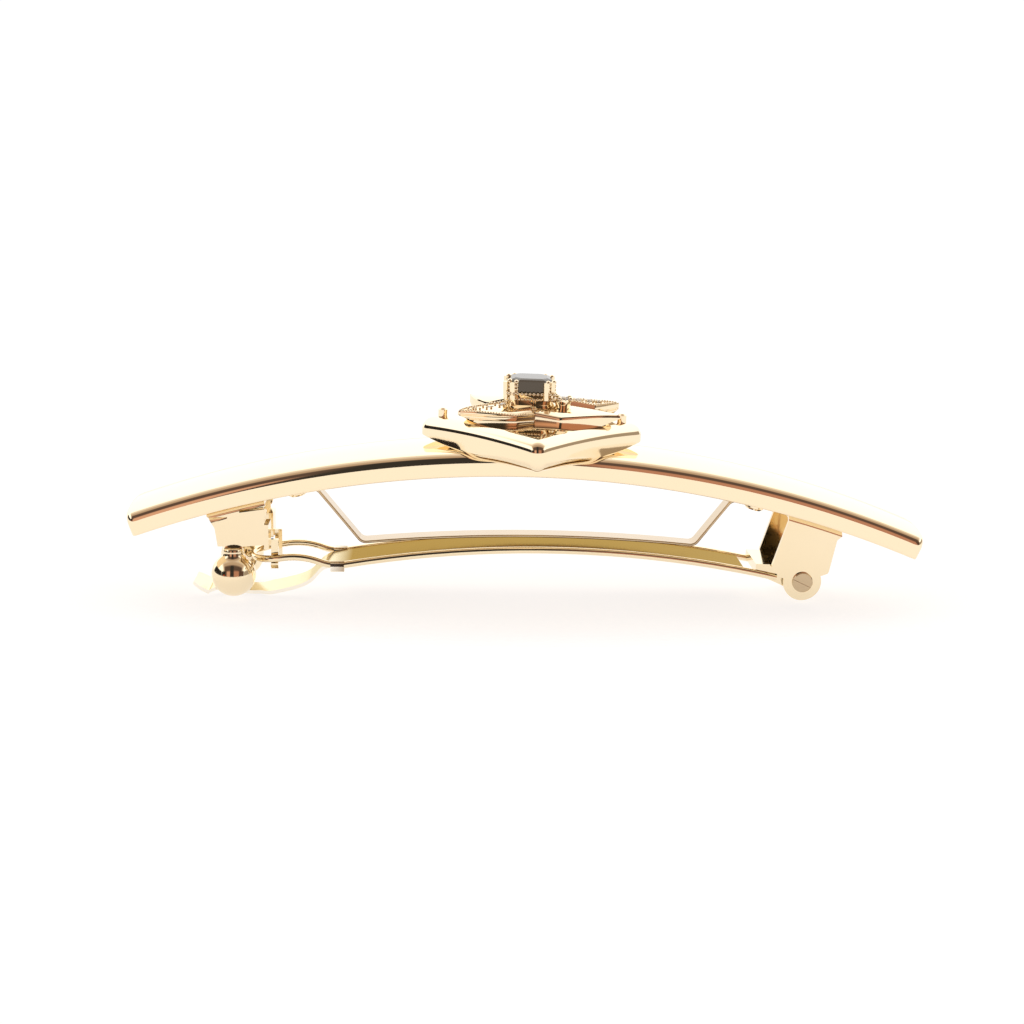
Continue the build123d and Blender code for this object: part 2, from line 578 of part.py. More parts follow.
with BuildPart() as hinge_knuckle:
    with BuildSketch(Plane.XZ):
        with BuildLine():
            Polyline(
                (25.68, 3.35), (25.68, 4.45), (28.08, 4.4), (PIN[0], PIN[1] + KNUCKLE_RADIUS),
                (PIN[0], PIN[1] - KNUCKLE_RADIUS), (28.68, 2.0), (25.68, 3.35)
            )
        make_face()
    extrude(amount=WIRE_Y, both=True)
    with Locations(Pos(PIN[0], 0, PIN[1]) * Rot(90, 0, 0)):
        Cylinder(KNUCKLE_RADIUS, 2 * (EAR_INSIDE - SIDE_PLAY))
        Cylinder(PIN_RADIUS + PIN_CLEARANCE, 10, mode=Mode.SUBTRACT)
    add(arm_wire.part, mode=Mode.SUBTRACT)
hinge_knuckle.part.label = "hinge_knuckle"
export_step(hinge_knuckle.part, "parts/hinge_knuckle.step")


# ==== the two catch levers ========================================================================
def catch_spring(side):
    """Spring leg on one side: top flange, leg, inward flange, barbed tongue and the ball's tongue."""
    outside = LEG_INSIDE + SHEET
    with BuildPart(mode=Mode.PRIVATE) as spring:
        sheet = LEG_DEPTH[1] - LEG_DEPTH[0]
        add(bent_channel(-36.02, -29.12, outside, LEG_DEPTH[0], sheet, 8.5, 0.85))
        with BuildSketch(Plane.XZ) as leg_outline:
            with BuildLine():
                Polyline(
                    (-35.42, 12.3), (-35.42, 9.4), (-34.7, 8.2), (-34.4, 6.15), (-33.62, 6.15), (-33.62, 3.7),
                    (-31.72, 3.7), (-31.72, 6.15), (-29.32, 6.35), (-29.32, 12.3), (-35.42, 12.3)
                )
            make_face()
        extrude(amount=6, both=True, mode=Mode.INTERSECT)
        # keep this side only, clear of its twin in the middle
        with Locations((-32.5, side * 5.3, 7.3)):
            Box(12, 10, 14, mode=Mode.INTERSECT)
        with Locations((-29.07, side * (1.3 + outside) / 2, 7.25)):
            Box(0.5, outside - 1.3, 2.8)
        with BuildSketch(Plane.YZ.offset(-28.72)) as tongue:
            with BuildLine():
                Polyline(
                    (side * TONGUE[0], 6.6), (side * TONGUE[1], 6.6), (side * TONGUE[1], 4.02),
                    (side * BARB_REACH, 4.02), (side * BARB_REACH, 3.8), (side * TONGUE[1], 3.25),
                    (side * TONGUE[0], 3.25), (side * TONGUE[0], 6.6)
                )
            make_face()
        extrude(amount=0.8)
        with Locations((-28.82, side * (TONGUE[0] + TONGUE[1]) / 2, 6.25)):
            Box(0.6, TONGUE[1] - TONGUE[0], 0.7)
    return spring.part


def press_ball(side, spring):
    """Ball with a collar, pressed over the leg's lower tongue."""
    with BuildPart(mode=Mode.PRIVATE) as ball:
        with Locations((BALL_PLACE[0], side * BALL_PLACE[1], BALL_PLACE[2])):
            Sphere(BALL_RADIUS)
            Cylinder(COLLAR_RADIUS, COLLAR_TOP - BALL_PLACE[2], align=(Align.CENTER, Align.CENTER, Align.MIN))
        fillet(ball.edges().filter_by(GeomType.CIRCLE).sort_by(Axis.Z)[-2], COLLAR_FLARE)
        fillet(ball.edges().group_by(Axis.Z)[-1], 0.2)
        add(spring, mode=Mode.SUBTRACT)
    return ball.part


with BuildPart() as front_catch_spring:
    add(catch_spring(-1))
front_catch_spring.part.label = "front_catch_spring"
export_step(front_catch_spring.part, "parts/front_catch_spring.step")

with BuildPart() as rear_catch_spring:
    add(catch_spring(1))
rear_catch_spring.part.label = "rear_catch_spring"
export_step(rear_catch_spring.part, "parts/rear_catch_spring.step")

with BuildPart() as front_ball:
    add(press_ball(-1, front_catch_spring.part))
front_ball.part.label = "front_ball"
export_step(front_ball.part, "parts/front_ball.step")

with BuildPart() as rear_ball:
    add(press_ball(1, rear_catch_spring.part))
rear_ball.part.label = "rear_ball"
export_step(rear_ball.part, "parts/rear_ball.step")
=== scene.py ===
"""Rhinestone hair clip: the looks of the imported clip.

The clip is an arched, plated casting with a lozenge in its middle.  A rosette of four leaves and a
square stone sits on the lozenge, and a wire spring clasp with two press balls hangs underneath.
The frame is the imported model's: +X towards the hinge, +Z up.  Sizes are given in millimetres and
angles in degrees, except where a name or a docstring says otherwise; the meshes are in metres.
"""
import logging
import math
from dataclasses import dataclass
from enum import Enum, IntEnum
from typing import Sequence

import bmesh
import bpy
from mathutils import Matrix, Vector


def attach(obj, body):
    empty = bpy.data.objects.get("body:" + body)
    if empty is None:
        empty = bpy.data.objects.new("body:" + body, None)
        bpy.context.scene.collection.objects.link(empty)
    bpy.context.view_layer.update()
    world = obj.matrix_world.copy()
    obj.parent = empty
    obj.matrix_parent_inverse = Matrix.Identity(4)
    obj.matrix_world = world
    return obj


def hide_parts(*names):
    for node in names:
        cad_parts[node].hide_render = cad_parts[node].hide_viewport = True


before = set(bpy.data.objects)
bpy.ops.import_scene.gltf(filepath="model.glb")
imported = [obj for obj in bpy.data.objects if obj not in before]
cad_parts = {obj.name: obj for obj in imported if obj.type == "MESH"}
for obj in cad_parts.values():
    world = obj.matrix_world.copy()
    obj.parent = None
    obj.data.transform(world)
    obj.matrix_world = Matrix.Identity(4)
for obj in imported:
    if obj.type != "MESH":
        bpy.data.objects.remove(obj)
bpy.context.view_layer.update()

log = logging.getLogger("hair_clip")
MM = 0.001

Point = tuple[float, float, float]
Point2 = tuple[float, float]
Ring = list[Vector]


class Slot(Enum):
    """The record's material slots."""

    CAST = "champagne_gold"
    CLASP = "clasp_gold"
    DARK = "dark_stone"
    CLEAR = "clear_stone"


class Side(IntEnum):
    """A side of a leaf, looking from its start to its tip; its number is the sign of the way across."""

    NONE = 0
    LEFT = 1
    RIGHT = -1


# ==================================================================================================
# Small tools
# ==================================================================================================
def linear(hex_colour: str) -> tuple[float, float, float, float]:
    """Turns an sRGB hex colour to linear RGBA.

    Args:
        hex_colour: six digits after a hash, such as "#e8d3a6".

    Returns:
        Linear red, green, blue and an alpha of 1.
    """
    parts = [int(hex_colour[i : i + 2], 16) / 255 for i in (1, 3, 5)]
    flat = [c / 12.92 if c <= 0.04045 else ((c + 0.055) / 1.055) ** 2.4 for c in parts]
    return (flat[0], flat[1], flat[2], 1.0)


def quarter_turn(steps: int) -> list[float]:
    """Angles in radians, evenly spaced from 0 to a quarter turn."""
    return [math.radians(90 * i / steps) for i in range(steps + 1)]


def add_node(tree: bpy.types.NodeTree, kind: str, settings: dict | None = None,
             **inputs: object) -> bpy.types.Node:
    """Adds a node with its settings, its values and its links.

    Args:
        tree: the node tree that gets the node.
        kind: the node's type name.
        settings: attributes of the node, such as its operation.
        **inputs: values or source sockets by input name; a name i0, i1 and so on is an input's place.

    Returns:
        The new node.
    """
    node = tree.nodes.new(kind)
    for name, value in (settings or {}).items():
        setattr(node, name, value)
    for name, value in inputs.items():
        by_place = name[0] == "i" and name[1:].isdigit()
        socket = node.inputs[int(name[1:])] if by_place else node.inputs[name.replace("_", " ")]
        if isinstance(value, bpy.types.NodeSocket):
            tree.links.new(value, socket)
        else:
            socket.default_value = value
    return node


def link_object(name: str, data: bpy.types.ID) -> bpy.types.Object:
    """Puts an object with this data into the scene.

    Args:
        name: the piece's name.
        data: its mesh or camera.

    Returns:
        The linked object.
    """
    piece = bpy.data.objects.new(name, data)
    bpy.context.scene.collection.objects.link(piece)
    return piece


def settle(piece: bpy.types.Object) -> None:
    """Turns a piece's modifiers into plain mesh and removes them.

    Args:
        piece: the piece with its modifiers live; it gets its evaluated mesh.
    """
    graph = bpy.context.evaluated_depsgraph_get()
    graph.update()
    mesh = bpy.data.meshes.new_from_object(piece.evaluated_get(graph), preserve_all_data_layers=True,
                                           depsgraph=graph)
    mesh.name = piece.name
    piece.modifiers.clear()
    piece.data = mesh


def smooth_by_angle(mesh: bpy.types.Mesh, degrees: float) -> None:
    """Shades a mesh smooth, with its sharper edges kept crisp.

    Args:
        mesh: the mesh to shade.
        degrees: edges where the faces meet at more than this stay crisp.
    """
    work = bmesh.new()
    work.from_mesh(mesh)
    for face in work.faces:
        face.smooth = True
    for edge in work.edges:
        edge.smooth = len(edge.link_faces) == 2 and edge.calc_face_angle(0.0) < math.radians(degrees)
    work.to_mesh(mesh)
    work.free()


def skinned(name: str, shells: Sequence[Sequence[Ring]], degrees: float) -> bpy.types.Mesh:
    """Makes a mesh from closed shells, each a stack of rings with equal counts and capped ends.

    Args:
        name: the mesh's name.
        shells: the rings of each shell, in order.
        degrees: edges where the faces meet at more than this stay crisp.

    Returns:
        The mesh, with its normals outwards.
    """
    work = bmesh.new()
    for rings in shells:
        made = [[work.verts.new(place) for place in ring] for ring in rings]
        for low, high in zip(made, made[1:]):
            for i in range(len(low)):
                j = (i + 1) % len(low)
                work.faces.new((low[i], low[j], high[j], high[i]))
        for ring in (made[0], made[-1]):
            middle = work.verts.new(sum((v.co for v in ring), Vector()) / len(ring))
            for i in range(len(ring)):
                work.faces.new((ring[i], ring[(i + 1) % len(ring)], middle))
    bmesh.ops.recalc_face_normals(work, faces=work.faces)
    mesh = bpy.data.meshes.new(name)
    work.to_mesh(mesh)
    work.free()
    smooth_by_angle(mesh, degrees)
    return mesh


def spun(name: str, centre: Vector, outline: Sequence[Point2], sides: int, crisp: float,
         phase: float = 0.5) -> bpy.types.Mesh:
    """Spins an outline about an upright axis.

    Args:
        name: the mesh's name.
        centre: a point on the axis, in metres.
        outline: points as (out, up) in millimetres from the centre.
        sides: how many sides the spun piece has.
        crisp: edges where the faces meet at more than this many degrees stay crisp.
        phase: where the first corner stands, as a part of one side's turn.

    Returns:
        The closed mesh.
    """
    turns = [2 * math.pi * (i + phase) / sides for i in range(sides)]
    rings = [[centre + Vector((out * math.cos(a), out * math.sin(a), up)) * MM for a in turns]
             for out, up in outline]
    return skinned(name, [rings], crisp)


def finish_piece(piece: bpy.types.Object, body: str, material: bpy.types.Material,
                 nodes: Sequence[str] = ()) -> None:
    """Gives a piece its finish, its body and the nodes that it stands for.

    Args:
        piece: the piece, in place.
        body: the body that it moves with.
        material: its finish.
        nodes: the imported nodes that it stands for.
    """
    piece.data.materials.clear()
    piece.data.materials.append(material)
    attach(piece, body)
    if nodes:
        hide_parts(*nodes)
    log.info("%s rides on %s, %d faces", piece.name, body, len(piece.data.polygons))


# ==================================================================================================
# Finishes
# ==================================================================================================
def start_finish(name: str) -> tuple[bpy.types.Material, bpy.types.Node, bpy.types.NodeSocket]:
    """Starts a finish.

    Args:
        name: the finish's name.

    Returns:
        The material, its main shader, and the place on the object as a socket for patterns.
    """
    made = bpy.data.materials.new(name)
    made.use_nodes = True
    place = add_node(made.node_tree, "ShaderNodeTexCoord").outputs["Object"]
    return made, made.node_tree.nodes["Principled BSDF"], place


@dataclass(frozen=True)
class PlatedMetal:
    """Bright gold plating over a polished casting or steel.

    Polished metal shows the room in its surface; the plating's thickness varies, so its warmth drifts
    a little over several millimetres, and handling leaves fine hairlines that soften the shine.
    """

    name: str
    colour: str
    warm: str
    roughness: float
    drift_mm: float = 9.0
    hairline_mm: float = 0.35
    hairline_depth_mm: float = 0.02
    bump: float = 0.02
    least_rough: float = 0.7
    most_rough: float = 1.4

    def material(self) -> bpy.types.Material:
        """Builds the finish.

        Returns:
            The material.
        """
        made, shader, place = start_finish(self.name)
        tree = made.node_tree
        shader.inputs["Metallic"].default_value = 1.0
        cloud = add_node(tree, "ShaderNodeTexNoise", Vector=place, Scale=1 / (self.drift_mm * MM),
                         Detail=2.0)
        tint = add_node(tree, "ShaderNodeMix", {"data_type": "RGBA"}, i0=cloud.outputs["Fac"],
                        i6=linear(self.colour), i7=linear(self.warm))
        tree.links.new(tint.outputs[2], shader.inputs["Base Color"])
        grain = add_node(tree, "ShaderNodeTexNoise", Vector=place, Scale=1 / (self.hairline_mm * MM),
                         Detail=4.0, Roughness=0.6)
        gloss = add_node(tree, "ShaderNodeMapRange", Value=grain.outputs["Fac"],
                         To_Min=self.roughness * self.least_rough,
                         To_Max=self.roughness * self.most_rough)
        tree.links.new(gloss.outputs[0], shader.inputs["Roughness"])
        relief = add_node(tree, "ShaderNodeBump", Strength=self.bump,
                          Distance=self.hairline_depth_mm * MM, Height=grain.outputs["Fac"])
        tree.links.new(relief.outputs[0], shader.inputs["Normal"])
        return made


@dataclass(frozen=True)
class ShadedPlate:
    """Satin gold plating with painted shade: a deep olive gold where the plate lies under the bar.

    The olive part is painted shade and painted reflection of the bar's underside; the free end, out from
    under the bar, is bright.
    """

    name: str
    # the free end's colour, then the olive gold of painted shade under the bar; the painted shade starts at
    # an X along the plate, over a soft edge
    bright: str
    shaded_colour: str
    roughness: float
    shade_edge_x_mm: float = -21.0
    shade_edge_mm: float = 1.2
    streak_mm: float = 1.5
    graze: str = "#e8ddb7"
    least_rough: float = 0.8
    most_rough: float = 1.3

    def material(self) -> bpy.types.Material:
        """Builds the finish.

        Returns:
            The material.
        """
        made, shader, place = start_finish(self.name)
        tree = made.node_tree
        shader.inputs["Metallic"].default_value = 1.0
        shader.inputs["Specular Tint"].default_value = linear(self.graze)
        along = add_node(tree, "ShaderNodeSeparateXYZ", Vector=place)
        # painted shade: 0 at the free end, 1 under the bar, with a soft edge along X
        painted_shade_mask = add_node(tree, "ShaderNodeMapRange", Value=along.outputs[0],
                         From_Min=(self.shade_edge_x_mm - self.shade_edge_mm) * MM,
                         From_Max=(self.shade_edge_x_mm + self.shade_edge_mm) * MM)
        tint = add_node(tree, "ShaderNodeMix", {"data_type": "RGBA"}, i0=painted_shade_mask.outputs[0],
                        i6=linear(self.bright), i7=linear(self.shaded_colour))
        tree.links.new(tint.outputs[2], shader.inputs["Base Color"])
        streak = add_node(tree, "ShaderNodeTexNoise", Vector=place, Scale=1 / (self.streak_mm * MM))
        gloss = add_node(tree, "ShaderNodeMapRange", Value=streak.outputs["Fac"],
                         To_Min=self.roughness * self.least_rough,
                         To_Max=self.roughness * self.most_rough)
        tree.links.new(gloss.outputs[0], shader.inputs["Roughness"])
        return made


@dataclass(frozen=True)
class CutGlass:
    """Faceted glass stone: smooth, hard facets, clear or dark, with faint clouds inside."""

    name: str
    colour: str
    cloud: str
    roughness: float
    clear: float
    cloud_mm: float = 1.2
    ior: float = 1.55
    sheen_tint: str = "#ffffff"

    def material(self) -> bpy.types.Material:
        """Builds the finish.

        Returns:
            The material.
        """
        made, shader, place = start_finish(self.name)
        tree = made.node_tree
        shader.inputs["Roughness"].default_value = self.roughness
        shader.inputs["IOR"].default_value = self.ior
        shader.inputs["Specular Tint"].default_value = linear(self.sheen_tint)
        shader.inputs["Transmission Weight"].default_value = self.clear
        cloud = add_node(tree, "ShaderNodeTexNoise", Vector=place, Scale=1 / (self.cloud_mm * MM),
                         Detail=3.0)
        tint = add_node(tree, "ShaderNodeMix", {"data_type": "RGBA"}, i0=cloud.outputs["Fac"],
                        i6=linear(self.colour), i7=linear(self.cloud))
        tree.links.new(tint.outputs[2], shader.inputs["Base Color"])
        return made


@dataclass(frozen=True)
class LightTable:
    """Opal acrylic lit from below: it glows evenly, so shadows on it stay faint and a little warm.

    Only the patch that the clip's shadow falls on is seen; past it the table is as bright as the room
    and lets the eye through, so the opened arm can be seen where it hangs below the table's level.
    """

    name: str = "opal_acrylic"
    colour: str = "#a09890"
    glow_colour: str = "#ffffff"
    glow: float = 0.78
    roughness: float = 0.9
    # half lengths of the patch, and the part of it that is seen in full
    patch_mm: Point2 = (78.0, 26.0)
    patch_core: float = 0.5

    def material(self) -> bpy.types.Material:
        """Builds the finish.

        Returns:
            The material.
        """
        made, shader, place = start_finish(self.name)
        tree = made.node_tree
        shader.inputs["Base Color"].default_value = linear(self.colour)
        shader.inputs["Roughness"].default_value = self.roughness
        shader.inputs["Specular IOR Level"].default_value = 0.0
        shader.inputs["Emission Color"].default_value = linear(self.glow_colour)
        shader.inputs["Emission Strength"].default_value = self.glow
        shrink = (1 / (self.patch_mm[0] * MM), 1 / (self.patch_mm[1] * MM), 0.0)
        scaled = add_node(tree, "ShaderNodeVectorMath", {"operation": "MULTIPLY"}, i0=place, i1=shrink)
        reach = add_node(tree, "ShaderNodeVectorMath", {"operation": "LENGTH"},
                         i0=scaled.outputs["Vector"])
        fade = add_node(tree, "ShaderNodeMapRange", {"interpolation_type": "SMOOTHSTEP"},
                        Value=reach.outputs["Value"], From_Min=self.patch_core, From_Max=1.0)
        seen = add_node(tree, "ShaderNodeLightPath")
        open_part = add_node(tree, "ShaderNodeMath", {"operation": "MULTIPLY"}, i0=fade.outputs[0],
                             i1=seen.outputs["Is Camera Ray"])
        through = add_node(tree, "ShaderNodeBsdfTransparent")
        surface = add_node(tree, "ShaderNodeMixShader", i0=open_part.outputs[0],
                           i1=shader.outputs[0], i2=through.outputs[0])
        tree.links.new(surface.outputs[0], tree.nodes["Material Output"].inputs["Surface"])
        return made


# ==================================================================================================
# The casting: arched bar and lozenge
# ==================================================================================================
@dataclass
class Arch:
    """The curve that the whole clip follows, and the tilted frame at its middle."""

    radius: float = 120.1
    thickness: float = 3.1
    chord: float = 89.1
    middle_height: float = 14.63
    lean: float = 1.22

    @property
    def half_angle(self) -> float:
        """Half of the bar's opening angle, in radians."""
        return math.asin(self.chord / 2 / (self.radius + self.thickness))

    @property
    def middle_x(self) -> float:
        """Where the bar's middle stands along X."""
        sag = (self.radius + self.thickness) * (1 - math.cos(self.half_angle))
        return (sag - self.thickness) * math.sin(math.radians(self.lean))

    def local(self, along: float, across: float, up: float) -> Vector:
        """Place of a point given in the tilted frame at the bar's middle, in metres.

        Args:
            along: place along the bar.
            across: place across the bar.
            up: height above the bar's underside.

        Returns:
            The place.
        """
        c, s = math.cos(math.radians(self.lean)), math.sin(math.radians(self.lean))
        x = self.middle_x + along * c + up * s
        z = self.middle_height - along * s + up * c
        return Vector((x, across, z)) * MM

    def along_arch(self, angle: float, across: float, up: float) -> Vector:
        """Place of a point on the arch, given by its angle from the middle in radians."""
        reach = self.radius + up
        return self.local(reach * math.sin(angle), across, reach * math.cos(angle) - self.radius)


@dataclass
class Casting:
    """Arched bar with rolled edges, and the cushion-shaped lozenge in its middle."""

    arch: Arch
    # the bar's cross-section: width, upright side, rolled upper edge and small lower one
    width: float = 10.7
    side: float = 1.45
    edge: float = 1.25
    under_edge: float = 0.22
    under_steps: tuple[float, ...] = (0.0, 0.25, 0.5, 0.75, 0.95)
    side_steps: tuple[float, ...] = (0.1, 0.5, 0.9)
    soft_steps: int = 4
    edge_steps: int = 18
    dome_steps: int = 12
    # the bar's length: rounded ends, with closer rings where they turn
    end_round: float = 0.8
    end_steps: tuple[float, ...] = (90, 78, 66, 54, 42, 30, 15)
    end_gap: float = 0.00001
    stations: int = 260
    # the lozenge: half diagonal, heights over the bar's underside, rounding in plan, rolled shoulder
    lozenge: float = 12.775
    lozenge_bottom: float = 1.9
    lozenge_top: float = 5.95
    lozenge_corner: float = 1.3
    corner_steps: int = 14
    wall_steps: int = 24
    shoulder: float = 1.25
    shoulder_fall: float = 0.98
    shoulder_steps: int = 15
    dome: float = 110.0
    dome_rings: int = 16
    # the lozenge's underside: it rises to the side corners, and is rounded in under the other two
    rise_start: float = 6.9
    rise_height: float = 2.05
    rise_slope: float = 0.2636
    undercut: float = 1.5
    undercut_lift: float = 1.3
    undercut_steps: int = 9
    undercut_full: float = 3.0
    undercut_gone: float = 11.0
    crisp: float = 50.0

    def profile(self) -> list[Point2]:
        """Cross-section of the bar, once round from the middle of its underside.

        Returns:
            Points as (across, up) in millimetres.
        """
        half, soft, crown = self.width / 2, self.under_edge, self.arch.thickness
        right = [(t * (half - soft), 0.0) for t in self.under_steps]
        for a in quarter_turn(self.soft_steps):
            right.append((half - soft + soft * math.sin(a), soft - soft * math.cos(a)))
        right += [(half, soft + (self.side - soft) * t) for t in self.side_steps]
        # the rolled edge turns from the upright side into the dome without a crease
        rim_drop = crown - self.side - self.edge
        dome_radius = ((half - self.edge) ** 2 + rim_drop**2) / (2 * rim_drop)
        turn = math.pi / 2 - math.asin((half - self.edge) / dome_radius)
        size = self.edge / (1 - math.cos(turn))
        for step in range(self.edge_steps + 1):
            a = turn * step / self.edge_steps
            right.append((half - size * (1 - math.cos(a)), self.side + size * math.sin(a)))
        rim_y, rim_z = right[-1]
        fall = dome_radius - math.sqrt(dome_radius**2 - rim_y**2)
        for step in range(1, self.dome_steps + 1):
            y = rim_y * (1 - step / self.dome_steps)
            right.append((y, rim_z + fall - dome_radius + math.sqrt(dome_radius**2 - y**2)))
        squash = (crown - self.side) / (right[-1][1] - self.side)
        right = [(y, z if z <= self.side else self.side + (z - self.side) * squash) for y, z in right]
        return right + [(-y, z) for y, z in reversed(right[1:-1])]

    def bar_rings(self) -> list[Ring]:
        """Rings of the bar: the cross-section along the arch, drawn in at the rounded ends.

        Returns:
            The rings from end to end.
        """
        crown, end = self.arch.thickness, self.end_round
        end_angle = end / self.arch.radius
        reach = self.arch.half_angle - end_angle - self.end_gap
        sines = [math.sin(math.radians(degrees)) for degrees in self.end_steps]
        places = [(-reach - end_angle * s, end * (1 - math.sqrt(1 - s * s))) for s in sines]
        places += [(-reach + 2 * reach * i / self.stations, 0.0) for i in range(self.stations + 1)]
        places += [(reach + end_angle * s, end * (1 - math.sqrt(1 - s * s))) for s in reversed(sines)]
        section = self.profile()
        return [[self.arch.along_arch(angle, y * (1 - tuck / (self.width / 2)), z * (1 - tuck / crown))
                 for y, z in section] for angle, tuck in places]

    def outline(self, inset: float) -> list[Point2]:
        """Plan of the lozenge, moved inwards.

        Args:
            inset: how far inwards, in millimetres.

        Returns:
            Points as (along, across) in millimetres.
        """
        half = self.lozenge - inset * math.sqrt(2)
        corner = max(self.lozenge_corner - inset, 0.05)
        reach = half - corner * math.sqrt(2)
        points: list[Point2] = []
        for quarter in range(4):
            facing = math.radians(quarter * 90)
            for step in range(self.corner_steps + 1):
                a = facing - math.pi / 4 + math.pi / 2 * step / self.corner_steps
                points.append((reach * math.cos(facing) + corner * math.cos(a),
                               reach * math.sin(facing) + corner * math.sin(a)))
            bend, following = facing + math.pi / 4, facing + math.pi / 2
            start = points[-1]
            end = (reach * math.cos(following) + corner * math.cos(bend),
                   reach * math.sin(following) + corner * math.sin(bend))
            for step in range(1, self.wall_steps):
                points.append((start[0] + (end[0] - start[0]) * step / self.wall_steps,
                               start[1] + (end[1] - start[1]) * step / self.wall_steps))
        return points

    def top_height(self, along: float, across: float) -> float:
        """Height of the lozenge's domed top over the bar's underside."""
        return self.lozenge_top - (along**2 + across**2) / (2 * self.dome)

    def low_height(self, along: float) -> float:
        """Height of the lozenge's underside, which rises towards its two side corners."""
        return max(self.lozenge_bottom, self.rise_height + (abs(along) - self.rise_start) * self.rise_slope)

    def foot(self, turn: float) -> Ring:
        """Ring of the rounded foot, which is drawn in under the front and back corners only.

        Args:
            turn: 0 at the foot's lowest line, a quarter turn where it meets the upright wall.

        Returns:
            The ring's points.
        """
        ring = []
        drawn_in = self.outline(self.undercut * (1 - math.sin(turn)))
        for outer, inner in zip(self.outline(0.0), drawn_in):
            past = (abs(outer[0]) - self.undercut_full) / (self.undercut_gone - self.undercut_full)
            far = min(1.0, max(0.0, past))
            near = 1 - far * far * (3 - 2 * far)
            x, y = (o + (i - o) * near for o, i in zip(outer, inner))
            lift = self.undercut_lift * (1 - math.cos(turn)) * near
            ring.append(self.arch.local(x, y, self.low_height(x) + lift))
        return ring

    def lozenge_rings(self) -> list[Ring]:
        """Rings of the lozenge: undercut foot, upright wall, rolled shoulder and domed top.

        Returns:
            The rings from the underside to the middle of the top.
        """
        rings = [self.foot(turn) for turn in quarter_turn(self.undercut_steps)]
        for a in quarter_turn(self.shoulder_steps):
            drop = self.shoulder * self.shoulder_fall * (1 - math.sin(a))
            rings.append([self.arch.local(x, y, self.top_height(x, y) - drop)
                          for x, y in self.outline(self.shoulder * (1 - math.cos(a)))])
        inner = self.outline(self.shoulder)
        for step in range(1, self.dome_rings):
            t = 1 - step / self.dome_rings
            rings.append([self.arch.local(x * t, y * t, self.top_height(x * t, y * t))
                          for x, y in inner])
        return rings

    def build(self, material: bpy.types.Material) -> None:
        """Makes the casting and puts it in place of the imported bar."""
        mesh = skinned("cast_bar", [self.bar_rings(), self.lozenge_rings()], self.crisp)
        finish_piece(link_object("cast_bar", mesh), "clip", material, ("bar",))


